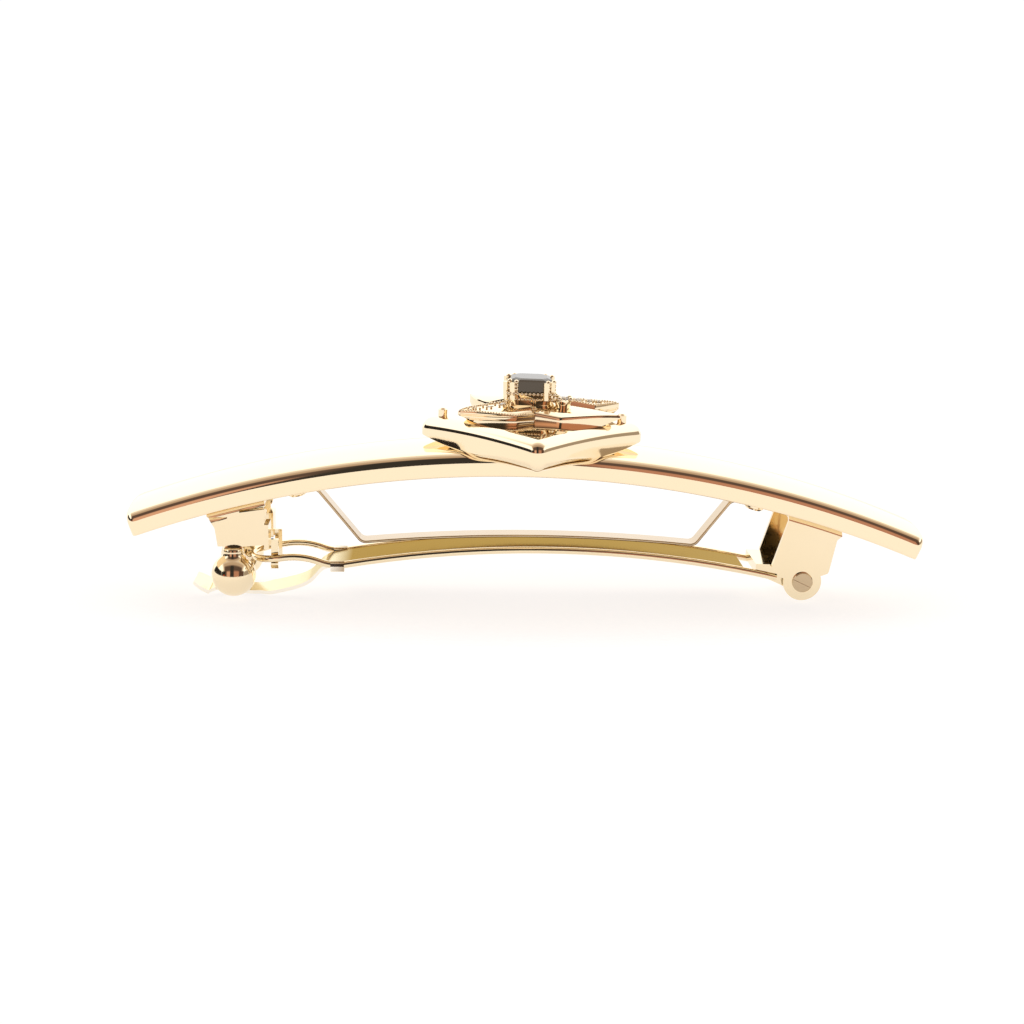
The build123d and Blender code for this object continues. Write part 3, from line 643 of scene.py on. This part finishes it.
# ==================================================================================================
# The rosette
# ==================================================================================================
@dataclass
class Leaf:
    """One leaf: pointed, with a rounded crest; a stone-set one has ribbed sides and a raised rim."""

    node: str
    arch: Arch
    turn: float
    tip: float
    crest: float
    ribbed: bool
    broad_side: Side = Side.NONE
    # plan: it starts near the middle, is widest at its heel and narrows to its tip
    start: float = 0.9
    heel: float = 3.9
    start_width: float = 3.7
    width: float = 4.4
    belly: float = 1.2
    broad: float = 3.3
    broad_belly: float = 0.35
    joint_gap: float = 0.01
    thinnest: float = 0.02
    steps: int = 64
    # crest: it falls towards the tip and is rounded across, sunk between the rims of a ribbed leaf
    fall: float = 6.0
    crown: float = 7.0
    sink: float = 0.1
    sink_width: float = 2.0
    across_steps: int = 12
    # underside: flat, and lifted near the tip
    base: float = 5.3
    lift_run: float = 2.6
    lift: float = 0.45
    # sides, as (inset, up): two ribs about their heights, then the rim or edge about the crest's edge
    skirt: float = 5.8
    ribs: tuple[float, ...] = (6.12, 6.52)
    rib: tuple[Point2, ...] = ((0.02, -0.1), (0.15, -0.03), (0.15, 0.05), (0.02, 0.12))
    raised_rim: tuple[Point2, ...] = ((0.0, -0.12), (0.05, 0.0), (0.2, 0.03), (0.3, -0.02), (0.38, -0.12))
    plain_edge: tuple[Point2, ...] = ((0.0, -0.3), (0.03, -0.16), (0.1, -0.05), (0.22, 0.0))
    least_part: float = 0.45
    # grains along the rims and claws round the stones
    grains_start: float = 2.8
    grains_end: float = 0.3
    grain_inset: float = 0.15
    grain_up: float = 0.05
    claw_reach: float = 1.08
    claw_up: float = 0.02
    crisp: float = 35.0

    def place(self, along: float, across: float, up: float) -> Vector:
        """Place of a point given along and across the leaf."""
        c, s = math.cos(math.radians(self.turn)), math.sin(math.radians(self.turn))
        return self.arch.local(along * c - across * s, along * s + across * c, up)

    def half_width(self, along: float, side: Side) -> float:
        """Half width on one side, kept within the leaf's own quarter of the lozenge.

        Args:
            along: place along the leaf, in millimetres.
            side: the side that is measured.

        Returns:
            The half width in millimetres.
        """
        if side == self.broad_side:
            heel_half, start_half, belly = self.broad, self.broad, self.broad_belly
        else:
            heel_half, start_half, belly = self.width / 2, self.start_width / 2, self.belly
        if along < self.heel:
            free = start_half + (heel_half - start_half) * (along - self.start) / (self.heel - self.start)
        else:
            part = (along - self.heel) / (self.tip - self.heel)
            free = heel_half * (1 - part) * (1 + belly * part)
        c, s = math.cos(math.radians(self.turn)), math.sin(math.radians(self.turn))
        for ahead, aside in ((abs(c), -s * math.copysign(1, c)), (abs(s), c * math.copysign(1, s))):
            if side * aside < 0:
                free = min(free, (along * ahead - self.joint_gap) / (-side * aside))
        return max(free, self.thinnest)

    def top(self, along: float, across: float) -> float:
        """Height of the leaf's rounded crest."""
        ridge = self.crest - along * math.sin(math.radians(self.fall))
        return ridge - self.crown + math.sqrt(self.crown**2 - across**2)

    def hem(self, along: float) -> float:
        """Height of the leaf's underside, which rises towards the tip."""
        return self.base + max(0.0, along - self.tip + self.lift_run) * self.lift

    def flank(self, along: float, side: Side) -> list[Point2]:
        """Side of the leaf from its base to the inner edge of its rim.

        Args:
            along: place along the leaf, in millimetres.
            side: the side that is drawn.

        Returns:
            Points as (across, up) in millimetres.
        """
        half = self.half_width(along, side)
        edge = self.top(along, half)
        points = [(0.0, self.base), (0.0, self.skirt)]
        if self.ribbed:
            points += [(inset, rib + up) for rib in self.ribs for inset, up in self.rib]
        finish = self.raised_rim if self.ribbed else self.plain_edge
        points += [(inset, edge + up) for inset, up in finish]
        low = self.hem(along)
        return [(side * max(half - inset, half * self.least_part), max(up, low)) for inset, up in points]

    def rings(self) -> list[Ring]:
        """Cross-sections of the leaf from its start to its tip.

        Returns:
            The rings, closer together near the tip.
        """
        made: list[Ring] = []
        sink = self.sink if self.ribbed else 0.0
        for step in range(self.steps + 1):
            along = self.start + (self.tip - self.start) * math.sin(math.pi / 2 * step / self.steps)
            left, right = self.flank(along, Side.LEFT), self.flank(along, Side.RIGHT)
            narrow = min(1.0, (left[0][0] - right[0][0]) / self.sink_width)
            section = list(left)
            for t in range(1, self.across_steps):
                across = left[-1][0] + (right[-1][0] - left[-1][0]) * t / self.across_steps
                section.append((across, self.top(along, across) - sink * narrow))
            section += reversed(right)
            made.append([self.place(along, across, up) for across, up in section])
        return made

    def rim_points(self, pitch: float) -> list[Vector]:
        """Places of the small grains along both rims of the leaf.

        Args:
            pitch: distance between grains along the rim, in millimetres.

        Returns:
            The places, in metres.
        """
        probe = 0.05
        points = []
        for side in (Side.RIGHT, Side.LEFT):
            along = self.grains_start
            while along < self.tip - self.grains_end:
                half = self.half_width(along, side)
                across = side * max(half - self.grain_inset, 0.0)
                points.append(self.place(along, across, self.top(along, half) + self.grain_up))
                widening = self.half_width(along + probe, side) - half
                along += pitch / math.hypot(1.0, widening / probe)
        return points

    def claw_points(self, stones: Sequence[Point2]) -> list[Vector]:
        """Places of the four claws round each small stone.

        Args:
            stones: each stone's place along the leaf and its radius, in millimetres.

        Returns:
            The places, in metres.
        """
        points = []
        for along, radius in stones:
            for quarter in range(4):
                a = math.radians(45 + 90 * quarter)
                x = along + radius * self.claw_reach * math.cos(a)
                y = radius * self.claw_reach * math.sin(a)
                points.append(self.place(x, y, self.top(x, y) + self.claw_up))
        return points

    def build(self, material: bpy.types.Material) -> None:
        """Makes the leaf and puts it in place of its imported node."""
        piece = link_object(f"{self.node}_cast", skinned(f"{self.node}_cast", [self.rings()], self.crisp))
        finish_piece(piece, "clip", material, (self.node,))


@dataclass
class Beads:
    """Cast beads: round grains of slightly uneven size, placed by geometry nodes."""

    name: str
    points: list[Vector]
    radius: float
    seed: int = 7
    unevenness: float = 0.08
    segments: int = 12
    rings: int = 8

    def group(self) -> bpy.types.NodeTree:
        """Builds the node group that puts a bead on each point.

        Returns:
            The group, with inputs for the beads' size, their unevenness, its seed and their finish.
        """
        tree = bpy.data.node_groups.new(f"{self.name}_beads", "GeometryNodeTree")
        face = tree.interface
        face.new_socket("Geometry", in_out="INPUT", socket_type="NodeSocketGeometry")
        for name, kind in (("Bead Radius", "NodeSocketFloat"), ("Unevenness", "NodeSocketFloat"),
                           ("Seed", "NodeSocketInt"), ("Finish", "NodeSocketMaterial")):
            face.new_socket(name, in_out="INPUT", socket_type=kind)
        face.new_socket("Geometry", in_out="OUTPUT", socket_type="NodeSocketGeometry")
        given = add_node(tree, "NodeGroupInput").outputs
        spots = add_node(tree, "GeometryNodeMeshToPoints", Mesh=given["Geometry"])
        bead = add_node(tree, "GeometryNodeMeshUVSphere", Segments=self.segments, Rings=self.rings,
                        Radius=given["Bead Radius"])
        low = add_node(tree, "ShaderNodeMath", {"operation": "SUBTRACT"}, i0=1.0,
                       i1=given["Unevenness"])
        size = add_node(tree, "FunctionNodeRandomValue", {"data_type": "FLOAT"}, i2=low.outputs[0],
                        i3=1.0, Seed=given["Seed"])
        placed = add_node(tree, "GeometryNodeInstanceOnPoints", Points=spots.outputs[0],
                          Instance=bead.outputs[0], Scale=size.outputs[1])
        whole = add_node(tree, "GeometryNodeRealizeInstances", Geometry=placed.outputs[0])
        smooth = add_node(tree, "GeometryNodeSetShadeSmooth", Geometry=whole.outputs[0])
        finished = add_node(tree, "GeometryNodeSetMaterial", Geometry=smooth.outputs[0],
                            Material=given["Finish"])
        add_node(tree, "NodeGroupOutput", i0=finished.outputs[0])
        return tree

    def build(self, material: bpy.types.Material) -> None:
        """Makes the beads as one mesh that rides on the clip.

        Args:
            material: their finish.
        """
        mesh = bpy.data.meshes.new(self.name)
        mesh.from_pydata(self.points, [], [])
        piece = link_object(self.name, mesh)
        live = piece.modifiers.new("beads", "NODES")
        live.node_group = self.group()
        values = {"Bead Radius": self.radius * MM, "Unevenness": self.unevenness, "Seed": self.seed,
                  "Finish": material}
        for item in live.node_group.interface.items_tree:
            if item.in_out == "INPUT" and item.name in values:
                live[item.identifier] = values[item.name]
        settle(piece)
        finish_piece(piece, "clip", material)


@dataclass(frozen=True)
class StoneStep:
    """One level of a step-cut stone: its height, half its side, and how much its corners are cut."""

    up: float
    half: float
    cut: float

    def corners(self) -> list[Point2]:
        """The eight corners, once round, as (along, across) from the stone's middle."""
        far, near = self.half, self.half - self.cut
        return [(far, near), (near, far), (-near, far), (-far, near),
                (-far, -near), (-near, -far), (near, -far), (far, -near)]


@dataclass
class StepCutStone:
    """Square stone with cut corners: short pavilion, upright girdle and stepped crown."""

    arch: Arch
    middle: float
    steps: tuple[StoneStep, ...] = (
        StoneStep(8.32, 2.05, 0.7),
        StoneStep(8.75, 2.33, 0.85),
        StoneStep(10.02, 2.34, 0.85),
        StoneStep(10.2, 2.12, 0.76),
        StoneStep(10.32, 1.75, 0.62),
    )

    def build(self, material: bpy.types.Material) -> None:
        """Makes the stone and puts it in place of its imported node.

        Args:
            material: its finish.
        """
        rings = [[self.arch.local(self.middle + x, y, step.up) for x, y in step.corners()]
                 for step in self.steps]
        piece = link_object("step_cut_stone", skinned("step_cut_stone", [rings], 1))
        finish_piece(piece, "clip", material, ("center_stone",))


@dataclass(frozen=True)
class BeadSquare:
    """A square row of beads round the stone: its half side, height and pitch."""

    half: float
    up: float
    pitch: float

    def points(self, arch: Arch, middle: float) -> list[Vector]:
        """Evenly spaced places along the square.

        Args:
            arch: the clip's arch, for its tilted frame.
            middle: the square's middle along the bar, in millimetres.

        Returns:
            The places, in metres.
        """
        count = round(2 * self.half / self.pitch)
        places = []
        for quarter in range(4):
            c, s = math.cos(math.pi / 2 * quarter), math.sin(math.pi / 2 * quarter)
            for i in range(count):
                x, y = self.half, -self.half + 2 * self.half * (i + 0.5) / count
                places.append(arch.local(middle + x * c - y * s, x * s + y * c, self.up))
        return places


@dataclass
class Rosette:
    """Four leaves, the square stone in its setting, a side crystal and two corner beads."""

    arch: Arch
    middle: float = -0.35
    # small stones of a set leaf: place along it and radius
    stones: tuple[Point2, ...] = ((3.55, 0.66), (5.1, 0.68), (6.55, 0.56), (7.7, 0.40))
    grain_pitch: float = 0.3
    galleries: tuple[BeadSquare, ...] = (BeadSquare(2.66, 8.72, 0.44), BeadSquare(2.42, 8.1, 0.4))
    # ribs of the big claws: the corner that they stand at, half their spread and their heights
    claw_corner: float = 2.085
    claw_spread: float = 0.34
    claw_ribs: tuple[float, ...] = (8.8, 9.2, 9.6, 9.98)
    # turned pieces: where they stand, and their outlines as (out, up)
    hub: Point2 = (-0.1, -0.15)
    boss: tuple[Point2, ...] = ((2.9, 5.5), (2.9, 6.9), (2.8, 7.1), (2.6, 7.24), (2.2, 7.32))
    cup_place: Point2 = (3.3, -2.0)
    cup: tuple[Point2, ...] = ((0.6, 6.4), (0.82, 7.6), (0.97, 8.0), (0.97, 8.16), (0.8, 8.22))
    cup_claw_reach: float = 0.88
    cup_claw_up: float = 8.3
    crystal: tuple[Point2, ...] = ((0.4, 7.9), (0.82, 8.18), (0.8, 8.26), (0.46, 8.5))

    def leaves(self) -> list[Leaf]:
        """The four leaves, front and back."""
        return [
            Leaf("pave_leaf_front", self.arch, turn=207, tip=9.4, crest=7.85, ribbed=True,
                 broad_side=Side.LEFT),
            Leaf("pave_leaf_back", self.arch, turn=16, tip=10.3, crest=8.2, ribbed=True),
            Leaf("plain_leaf_front", self.arch, turn=-18, tip=10.0, crest=7.85, ribbed=False,
                 broad_side=Side.RIGHT),
            Leaf("plain_leaf_back", self.arch, turn=150, tip=8.0, crest=8.2, ribbed=False),
        ]

    def claw_tips(self) -> list[Vector]:
        """Places of the ribs on the four big claws, and of the cup's four claws.

        Returns:
            The places, in metres.
        """
        tips = []
        for sx in (-1, 1):
            for sy in (-1, 1):
                tips += [self.arch.local(self.middle + sx * (self.claw_corner + sy * aside),
                                         sy * (self.claw_corner - sy * aside), up)
                         for aside in (-self.claw_spread, self.claw_spread) for up in self.claw_ribs]
        for quarter in range(4):
            a = math.pi / 4 + math.pi / 2 * quarter
            tips.append(self.arch.local(self.cup_place[0] + self.cup_claw_reach * math.cos(a),
                                        self.cup_place[1] + self.cup_claw_reach * math.sin(a),
                                        self.cup_claw_up))
        return tips

    def build(self, cast: bpy.types.Material, dark: bpy.types.Material,
              clear: bpy.types.Material) -> None:
        """Makes all of the rosette's pieces.

        Args:
            cast: finish of the casting.
            dark: finish of the square stone.
            clear: finish of the small stones.
        """
        grains, claws = [], []
        for leaf in self.leaves():
            leaf.build(cast)
            if leaf.ribbed:
                grains += leaf.rim_points(self.grain_pitch)
                claws += leaf.claw_points(self.stones)
        Beads("leaf_grains", grains, radius=0.14).build(cast)
        Beads("stone_claws", claws, radius=0.15, seed=11).build(cast)
        StepCutStone(self.arch, self.middle).build(dark)
        for node in ("stone_setting", "corner_beads"):
            PolishedNode(node, "clip", Slot.CAST).build(cast)
        self.build_turned(cast, clear)
        gallery = [place for row in self.galleries for place in row.points(self.arch, self.middle)]
        Beads("gallery_beads", gallery, radius=0.2, seed=3).build(cast)
        Beads("claw_ribs", self.claw_tips(), radius=0.3, seed=5).build(cast)
        plain_node("pave_stones", clear)

    def build_turned(self, cast: bpy.types.Material, clear: bpy.types.Material) -> None:
        """Makes the boss that the leaves grow from, and the side crystal in its cup.

        Args:
            cast: finish of the boss and the cup.
            clear: finish of the crystal.
        """
        boss = spun("leaf_boss", self.arch.local(*self.hub, 0.0), self.boss, 48, 40)
        finish_piece(link_object("leaf_boss", boss), "clip", cast)
        base = self.arch.local(*self.cup_place, 0.0)
        cup = spun("side_cup", base, self.cup, 32, 40)
        finish_piece(link_object("side_cup", cup), "clip", cast, ("accent_cup",))
        cut = spun("side_crystal", base, self.crystal, 8, 1)
        finish_piece(link_object("side_crystal", cut), "clip", clear, ("accent_crystal",))


# ==================================================================================================
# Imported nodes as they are, and the clasp
# ==================================================================================================
def plain_node(node: str, material: bpy.types.Material) -> None:
    """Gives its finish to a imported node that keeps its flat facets.

    Args:
        node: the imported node's name.
        material: its finish.
    """
    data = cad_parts[node].data
    data.materials.clear()
    data.materials.append(material)
    log.info("%s keeps its packed shape", node)


@dataclass
class PolishedNode:
    """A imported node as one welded, smoothly shaded piece, with its edges broken where asked."""

    node: str
    body: str
    slot: Slot
    broken_edge: float = 0.0
    edge_angle: float = 40.0
    edge_steps: int = 2
    crisp: float = 32.0
    weld: float = 0.0005
    sliver: float = 0.0001
    face_weight: int = 80

    def welded(self) -> bpy.types.Mesh:
        """Copies the node's mesh and merges its loose triangles.

        Returns:
            The merged copy.
        """
        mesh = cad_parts[self.node].data.copy()
        mesh.name = f"{self.node}_polished"
        work = bmesh.new()
        work.from_mesh(mesh)
        bmesh.ops.remove_doubles(work, verts=work.verts, dist=self.weld * MM)
        bmesh.ops.dissolve_degenerate(work, edges=work.edges, dist=self.sliver * MM)
        work.to_mesh(mesh)
        work.free()
        for name in [a.name for a in mesh.attributes if a.name == "custom_normal"]:
            mesh.attributes.remove(mesh.attributes[name])
        smooth_by_angle(mesh, self.crisp)
        return mesh

    def build(self, material: bpy.types.Material) -> None:
        """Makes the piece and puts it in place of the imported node.

        Args:
            material: its finish.
        """
        piece = link_object(f"{self.node}_polished", self.welded())
        if self.broken_edge:
            broken = piece.modifiers.new("broken_edges", "BEVEL")
            broken.width = self.broken_edge * MM
            broken.segments = self.edge_steps
            broken.limit_method = "ANGLE"
            broken.angle_limit = math.radians(self.edge_angle)
        even = piece.modifiers.new("even", "WEIGHTED_NORMAL")
        even.keep_sharp = True
        even.weight = self.face_weight
        settle(piece)
        finish_piece(piece, self.body, material, (self.node,))


@dataclass
class PressBall:
    """Polished press ball whose neck flares out of it, spun about an upright axis."""

    name: str
    node: str
    body: str
    centre: Point
    radius: float = 2.45
    collar: float = 1.15
    collar_top: float = 6.2
    collar_edge: float = 0.5
    flare: float = 1.1
    ball_steps: int = 44
    flare_steps: int = 8
    edge_steps: int = 4
    sides: int = 72
    crisp: float = 40.0

    def profile(self) -> list[Point2]:
        """Half outline from the bottom of the ball to the top of its neck.

        Returns:
            Points as (out, up) in millimetres from the ball's centre.
        """
        lift = math.sqrt((self.radius + self.flare) ** 2 - (self.collar + self.flare) ** 2)
        lean = math.atan2(self.collar + self.flare, lift)
        points = []
        for step in range(1, self.ball_steps + 1):
            a = math.pi - (math.pi - lean) * step / self.ball_steps
            points.append((self.radius * math.sin(a), self.radius * math.cos(a)))
        for step in range(1, self.flare_steps + 1):
            a = (math.pi / 2 - lean) * (1 - step / self.flare_steps)
            points.append((self.collar + self.flare * (1 - math.cos(a)), lift - self.flare * math.sin(a)))
        top = self.collar_top - self.centre[2]
        for a in quarter_turn(self.edge_steps):
            points.append((self.collar - self.collar_edge * (1 - math.cos(a)),
                           top - self.collar_edge * (1 - math.sin(a))))
        return points

    def build(self, material: bpy.types.Material) -> None:
        """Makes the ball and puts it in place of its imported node.

        Args:
            material: its finish.
        """
        mesh = spun(self.name, Vector(self.centre) * MM, self.profile(), self.sides, self.crisp, 0.0)
        finish_piece(link_object(self.name, mesh), self.body, material, (self.node,))


@dataclass
class Clasp:
    """Fixed strips and brackets, the hinged wire arm and the two press-ball levers."""

    ball_x: float = -32.69
    ball_y: float = 3.95
    ball_z: float = 3.0
    sheet_edge: float = 0.1
    spring_edge: float = 0.06

    def build(self, sheet: bpy.types.Material, spring: bpy.types.Material,
              inner: bpy.types.Material) -> None:
        """Makes all of the clasp's pieces.

        Args:
            sheet: bright finish of the brackets, the wire, the levers and what carries them.
            spring: duller finish of the tension strip and the pin.
            inner: satin finish of the arm's plate, which faces the bar; its olive gold under the bar is
                painted shade.
        """
        for node in ("base_strip", "base_rivets", "hinge_bracket", "catch_bracket"):
            PolishedNode(node, "clip", Slot.CLASP, self.sheet_edge).build(sheet)
        for node in ("tension_strip", "hinge_pin"):
            PolishedNode(node, "clip", Slot.CLASP, self.sheet_edge).build(spring)
        PolishedNode("arm_wire", "arm", Slot.CLASP).build(sheet)
        PolishedNode("hinge_knuckle", "arm", Slot.CLASP, self.sheet_edge).build(sheet)
        PolishedNode("arm_plate", "arm", Slot.CLASP, self.sheet_edge).build(inner)
        for side, word in ((-1, "front"), (1, "rear")):
            lever = f"{word}_lever"
            PolishedNode(f"{word}_catch_spring", lever, Slot.CLASP, self.spring_edge).build(sheet)
            centre = (self.ball_x, side * self.ball_y, self.ball_z)
            PressBall(f"{word}_press_ball", f"{word}_ball", lever, centre).build(sheet)


# ==================================================================================================
# Studio
# ==================================================================================================
def band(tree: bpy.types.NodeTree, source: bpy.types.NodeSocket, low: float, high: float,
         soft: float) -> bpy.types.NodeSocket:
    """A value of 1 between two limits, falling softly to 0 outside them.

    Args:
        tree: the room's node tree.
        source: the value that is limited.
        low: the lower limit.
        high: the upper limit.
        soft: how far to each side of a limit the fall reaches.

    Returns:
        The value's socket.
    """
    up = add_node(tree, "ShaderNodeMapRange", {"interpolation_type": "SMOOTHSTEP"}, Value=source,
                  From_Min=low - soft, From_Max=low + soft)
    down = add_node(tree, "ShaderNodeMapRange", {"interpolation_type": "SMOOTHSTEP"}, Value=source,
                    From_Min=high - soft, From_Max=high + soft, To_Min=1.0, To_Max=0.0)
    both = add_node(tree, "ShaderNodeMath", {"operation": "MULTIPLY"}, i0=up.outputs[0],
                    i1=down.outputs[0])
    return both.outputs[0]


@dataclass(frozen=True)
class Card:
    """A soft-edged coloured thing in the room, seen in the polished metal.

    Its limits across the room are in x. The others are in degrees over the front horizon for a card
    that arches over the clip, and in height for a wall at the side.
    """

    left: float
    right: float
    low: float
    high: float
    soft_x: float
    soft_height: float
    colour: str

    def lay(self, tree: bpy.types.NodeTree, x: bpy.types.NodeSocket, height: bpy.types.NodeSocket,
            below: bpy.types.NodeSocket) -> bpy.types.NodeSocket:
        """Lays the card over what the room already holds.

        Args:
            tree: the room's node tree.
            x: place across the room.
            height: place over the front horizon, or height.
            below: colour of the room without this card.

        Returns:
            The socket of the room's colour with this card.
        """
        mask = add_node(tree, "ShaderNodeMath", {"operation": "MULTIPLY"},
                        i0=band(tree, x, self.left, self.right, self.soft_x),
                        i1=band(tree, height, self.low, self.high, self.soft_height)).outputs[0]
        mix = add_node(tree, "ShaderNodeMix", {"data_type": "RGBA"}, i0=mask, i6=below,
                       i7=linear(self.colour))
        return mix.outputs[2]


@dataclass
class Room:
    """A white tent whose open front is dark, with a few coloured things in it."""

    # the tent's open front, darker towards its middle, then what stands in it
    cards: tuple[Card, ...] = (
        Card(-0.75, 0.80, -20, 104, 0.06, 9, "#ece0d4"),
        Card(-0.70, 0.75, -20, 84, 0.06, 9, "#c4ac98"),
        Card(-0.66, 0.72, -20, 62, 0.05, 7, "#5f4e47"),
        Card(-0.50, -0.22, -20, 30, 0.03, 6, "#dcab94"),
        Card(0.12, 0.54, -20, 32, 0.04, 6, "#bd8872"),
        Card(-0.20, 0.09, -20, 60, 0.04, 6, "#383533"),
        Card(-0.86, -0.60, -20, 34, 0.03, 4, "#2a2725"),
        Card(0.56, 0.86, -20, 40, 0.03, 4, "#5c463c"),
        Card(-0.76, -0.67, 3, 9, 0.02, 1, "#e0602c"),
    )
    walls: tuple[Card, ...] = (
        Card(-1.2, -0.86, -0.04, 0.34, 0.03, 0.03, "#2c2929"),
        Card(0.86, 1.2, -0.04, 0.32, 0.03, 0.05, "#a89a8c"),
    )
    # the tent's light at the horizon, and overhead from a height of bright_from up
    low_light: float = 1.3
    high_light: float = 1.5
    bright_from: float = 0.6
    backdrop_light: float = 1.05

    def build(self) -> None:
        """Makes the room; the camera itself sees only a pale backdrop."""
        world = bpy.data.worlds.new("room")
        bpy.context.scene.world = world
        world.use_nodes = True
        tree = world.node_tree
        tree.nodes.clear()
        place = add_node(tree, "ShaderNodeTexCoord")
        parts = add_node(tree, "ShaderNodeSeparateXYZ", Vector=place.outputs["Generated"])
        x, y, z = parts.outputs[0], parts.outputs[1], parts.outputs[2]
        ahead = add_node(tree, "ShaderNodeMath", {"operation": "MULTIPLY"}, i0=y, i1=-1.0).outputs[0]
        # rise is 0 at the front horizon, 90 overhead and 180 at the back horizon
        turn = add_node(tree, "ShaderNodeMath", {"operation": "ARCTAN2"}, i0=z, i1=ahead).outputs[0]
        rise = add_node(tree, "ShaderNodeMath", {"operation": "DEGREES"}, i0=turn).outputs[0]
        lift = add_node(tree, "ShaderNodeMapRange", Value=z, From_Min=0.0, From_Max=self.bright_from,
                        To_Min=self.low_light, To_Max=self.high_light).outputs[0]
        colour = add_node(tree, "ShaderNodeCombineColor", i0=lift, i1=lift, i2=lift).outputs[0]
        for card in self.cards:
            colour = card.lay(tree, x, rise, colour)
        for wall in self.walls:
            colour = wall.lay(tree, x, z, colour)
        room = add_node(tree, "ShaderNodeBackground", Color=colour, Strength=1.0)
        pale = add_node(tree, "ShaderNodeBackground", Color=linear("#ffffff"),
                        Strength=self.backdrop_light)
        seen = add_node(tree, "ShaderNodeLightPath")
        choice = add_node(tree, "ShaderNodeMixShader", i0=seen.outputs["Is Camera Ray"],
                          i1=room.outputs[0], i2=pale.outputs[0])
        add_node(tree, "ShaderNodeOutputWorld", Surface=choice.outputs[0])


@dataclass
class Studio:
    """Pale floor, soft room light and the camera."""

    azimuth: float = -2.73
    elevation: float = 14.10
    roll: float = 1.26
    distance: float = 181.35
    target: Point = (-1.83, 0.0, 9.41)
    lens: float = 56.4
    sensor: float = 36.0
    clip_metres: Point2 = (0.005, 20.0)
    floor_metres: float = 3.0

    def camera(self) -> None:
        """Makes the camera."""
        az, el, roll = (math.radians(v) for v in (self.azimuth, self.elevation, self.roll))
        back = Vector((math.sin(az) * math.cos(el), -math.cos(az) * math.cos(el), math.sin(el)))
        right = Vector((math.cos(az), math.sin(az), 0.0))
        up = back.cross(right)
        turned_right = right * math.cos(roll) + up * math.sin(roll)
        turned_up = up * math.cos(roll) - right * math.sin(roll)
        data = bpy.data.cameras.new("camera")
        data.lens = self.lens
        data.sensor_width = self.sensor
        data.clip_start, data.clip_end = self.clip_metres
        camera = link_object("camera", data)
        place = (Vector(self.target) + back * self.distance) * MM
        turn = Matrix((turned_right, turned_up, back)).transposed().to_4x4()
        camera.matrix_world = Matrix.Translation(place) @ turn
        bpy.context.scene.camera = camera

    def floor(self) -> None:
        """Makes the floor, a light table."""
        half = self.floor_metres / 2
        mesh = bpy.data.meshes.new("floor")
        corners = [(-half, -half, 0), (half, -half, 0), (half, half, 0), (-half, half, 0)]
        mesh.from_pydata(corners, [], [(0, 1, 2, 3)])
        mesh.materials.append(LightTable().material())
        link_object("floor", mesh)

    def build(self) -> None:
        """Makes the camera, the floor and the room."""
        self.camera()
        self.floor()
        Room().build()
        view = bpy.context.scene.view_settings
        view.view_transform = "Standard"
        view.look = "None"


def main() -> None:
    """Builds the clip's looks in order: studio, casting, rosette, clasp."""
    logging.basicConfig(level=logging.INFO, format="%(message)s")
    Studio().build()
    arch = Arch()
    cast = PlatedMetal("polished_champagne_gold_plating", "#fcebcc", "#fae8c6", 0.05).material()
    sheet = PlatedMetal("gold_plated_spring_steel", "#f7e7c8", "#f3e1bd", 0.09).material()
    spring = PlatedMetal("unpolished_spring_strip", "#cdb89a", "#c3ac8b", 0.12).material()
    # the arm plate's olive gold under the bar is painted shade and painted reflection of the bar's
    # underside
    inner = ShadedPlate("satin_gold_strip_painted_shade", "#fdf7ea", "#96713a", 0.16).material()
    dark = CutGlass("jet_black_glass", "#232222", "#302c2a", roughness=0.06, clear=0.0, ior=1.9,
                    sheen_tint="#ffeed8").material()
    clear = CutGlass("clear_crystal_glass", "#f6f6f4", "#e8e6e2", roughness=0.02, clear=0.6).material()
    Casting(arch).build(cast)
    Rosette(arch).build(cast, dark, clear)
    Clasp().build(sheet, spring, inner)


if __name__ == "__main__":
    main()
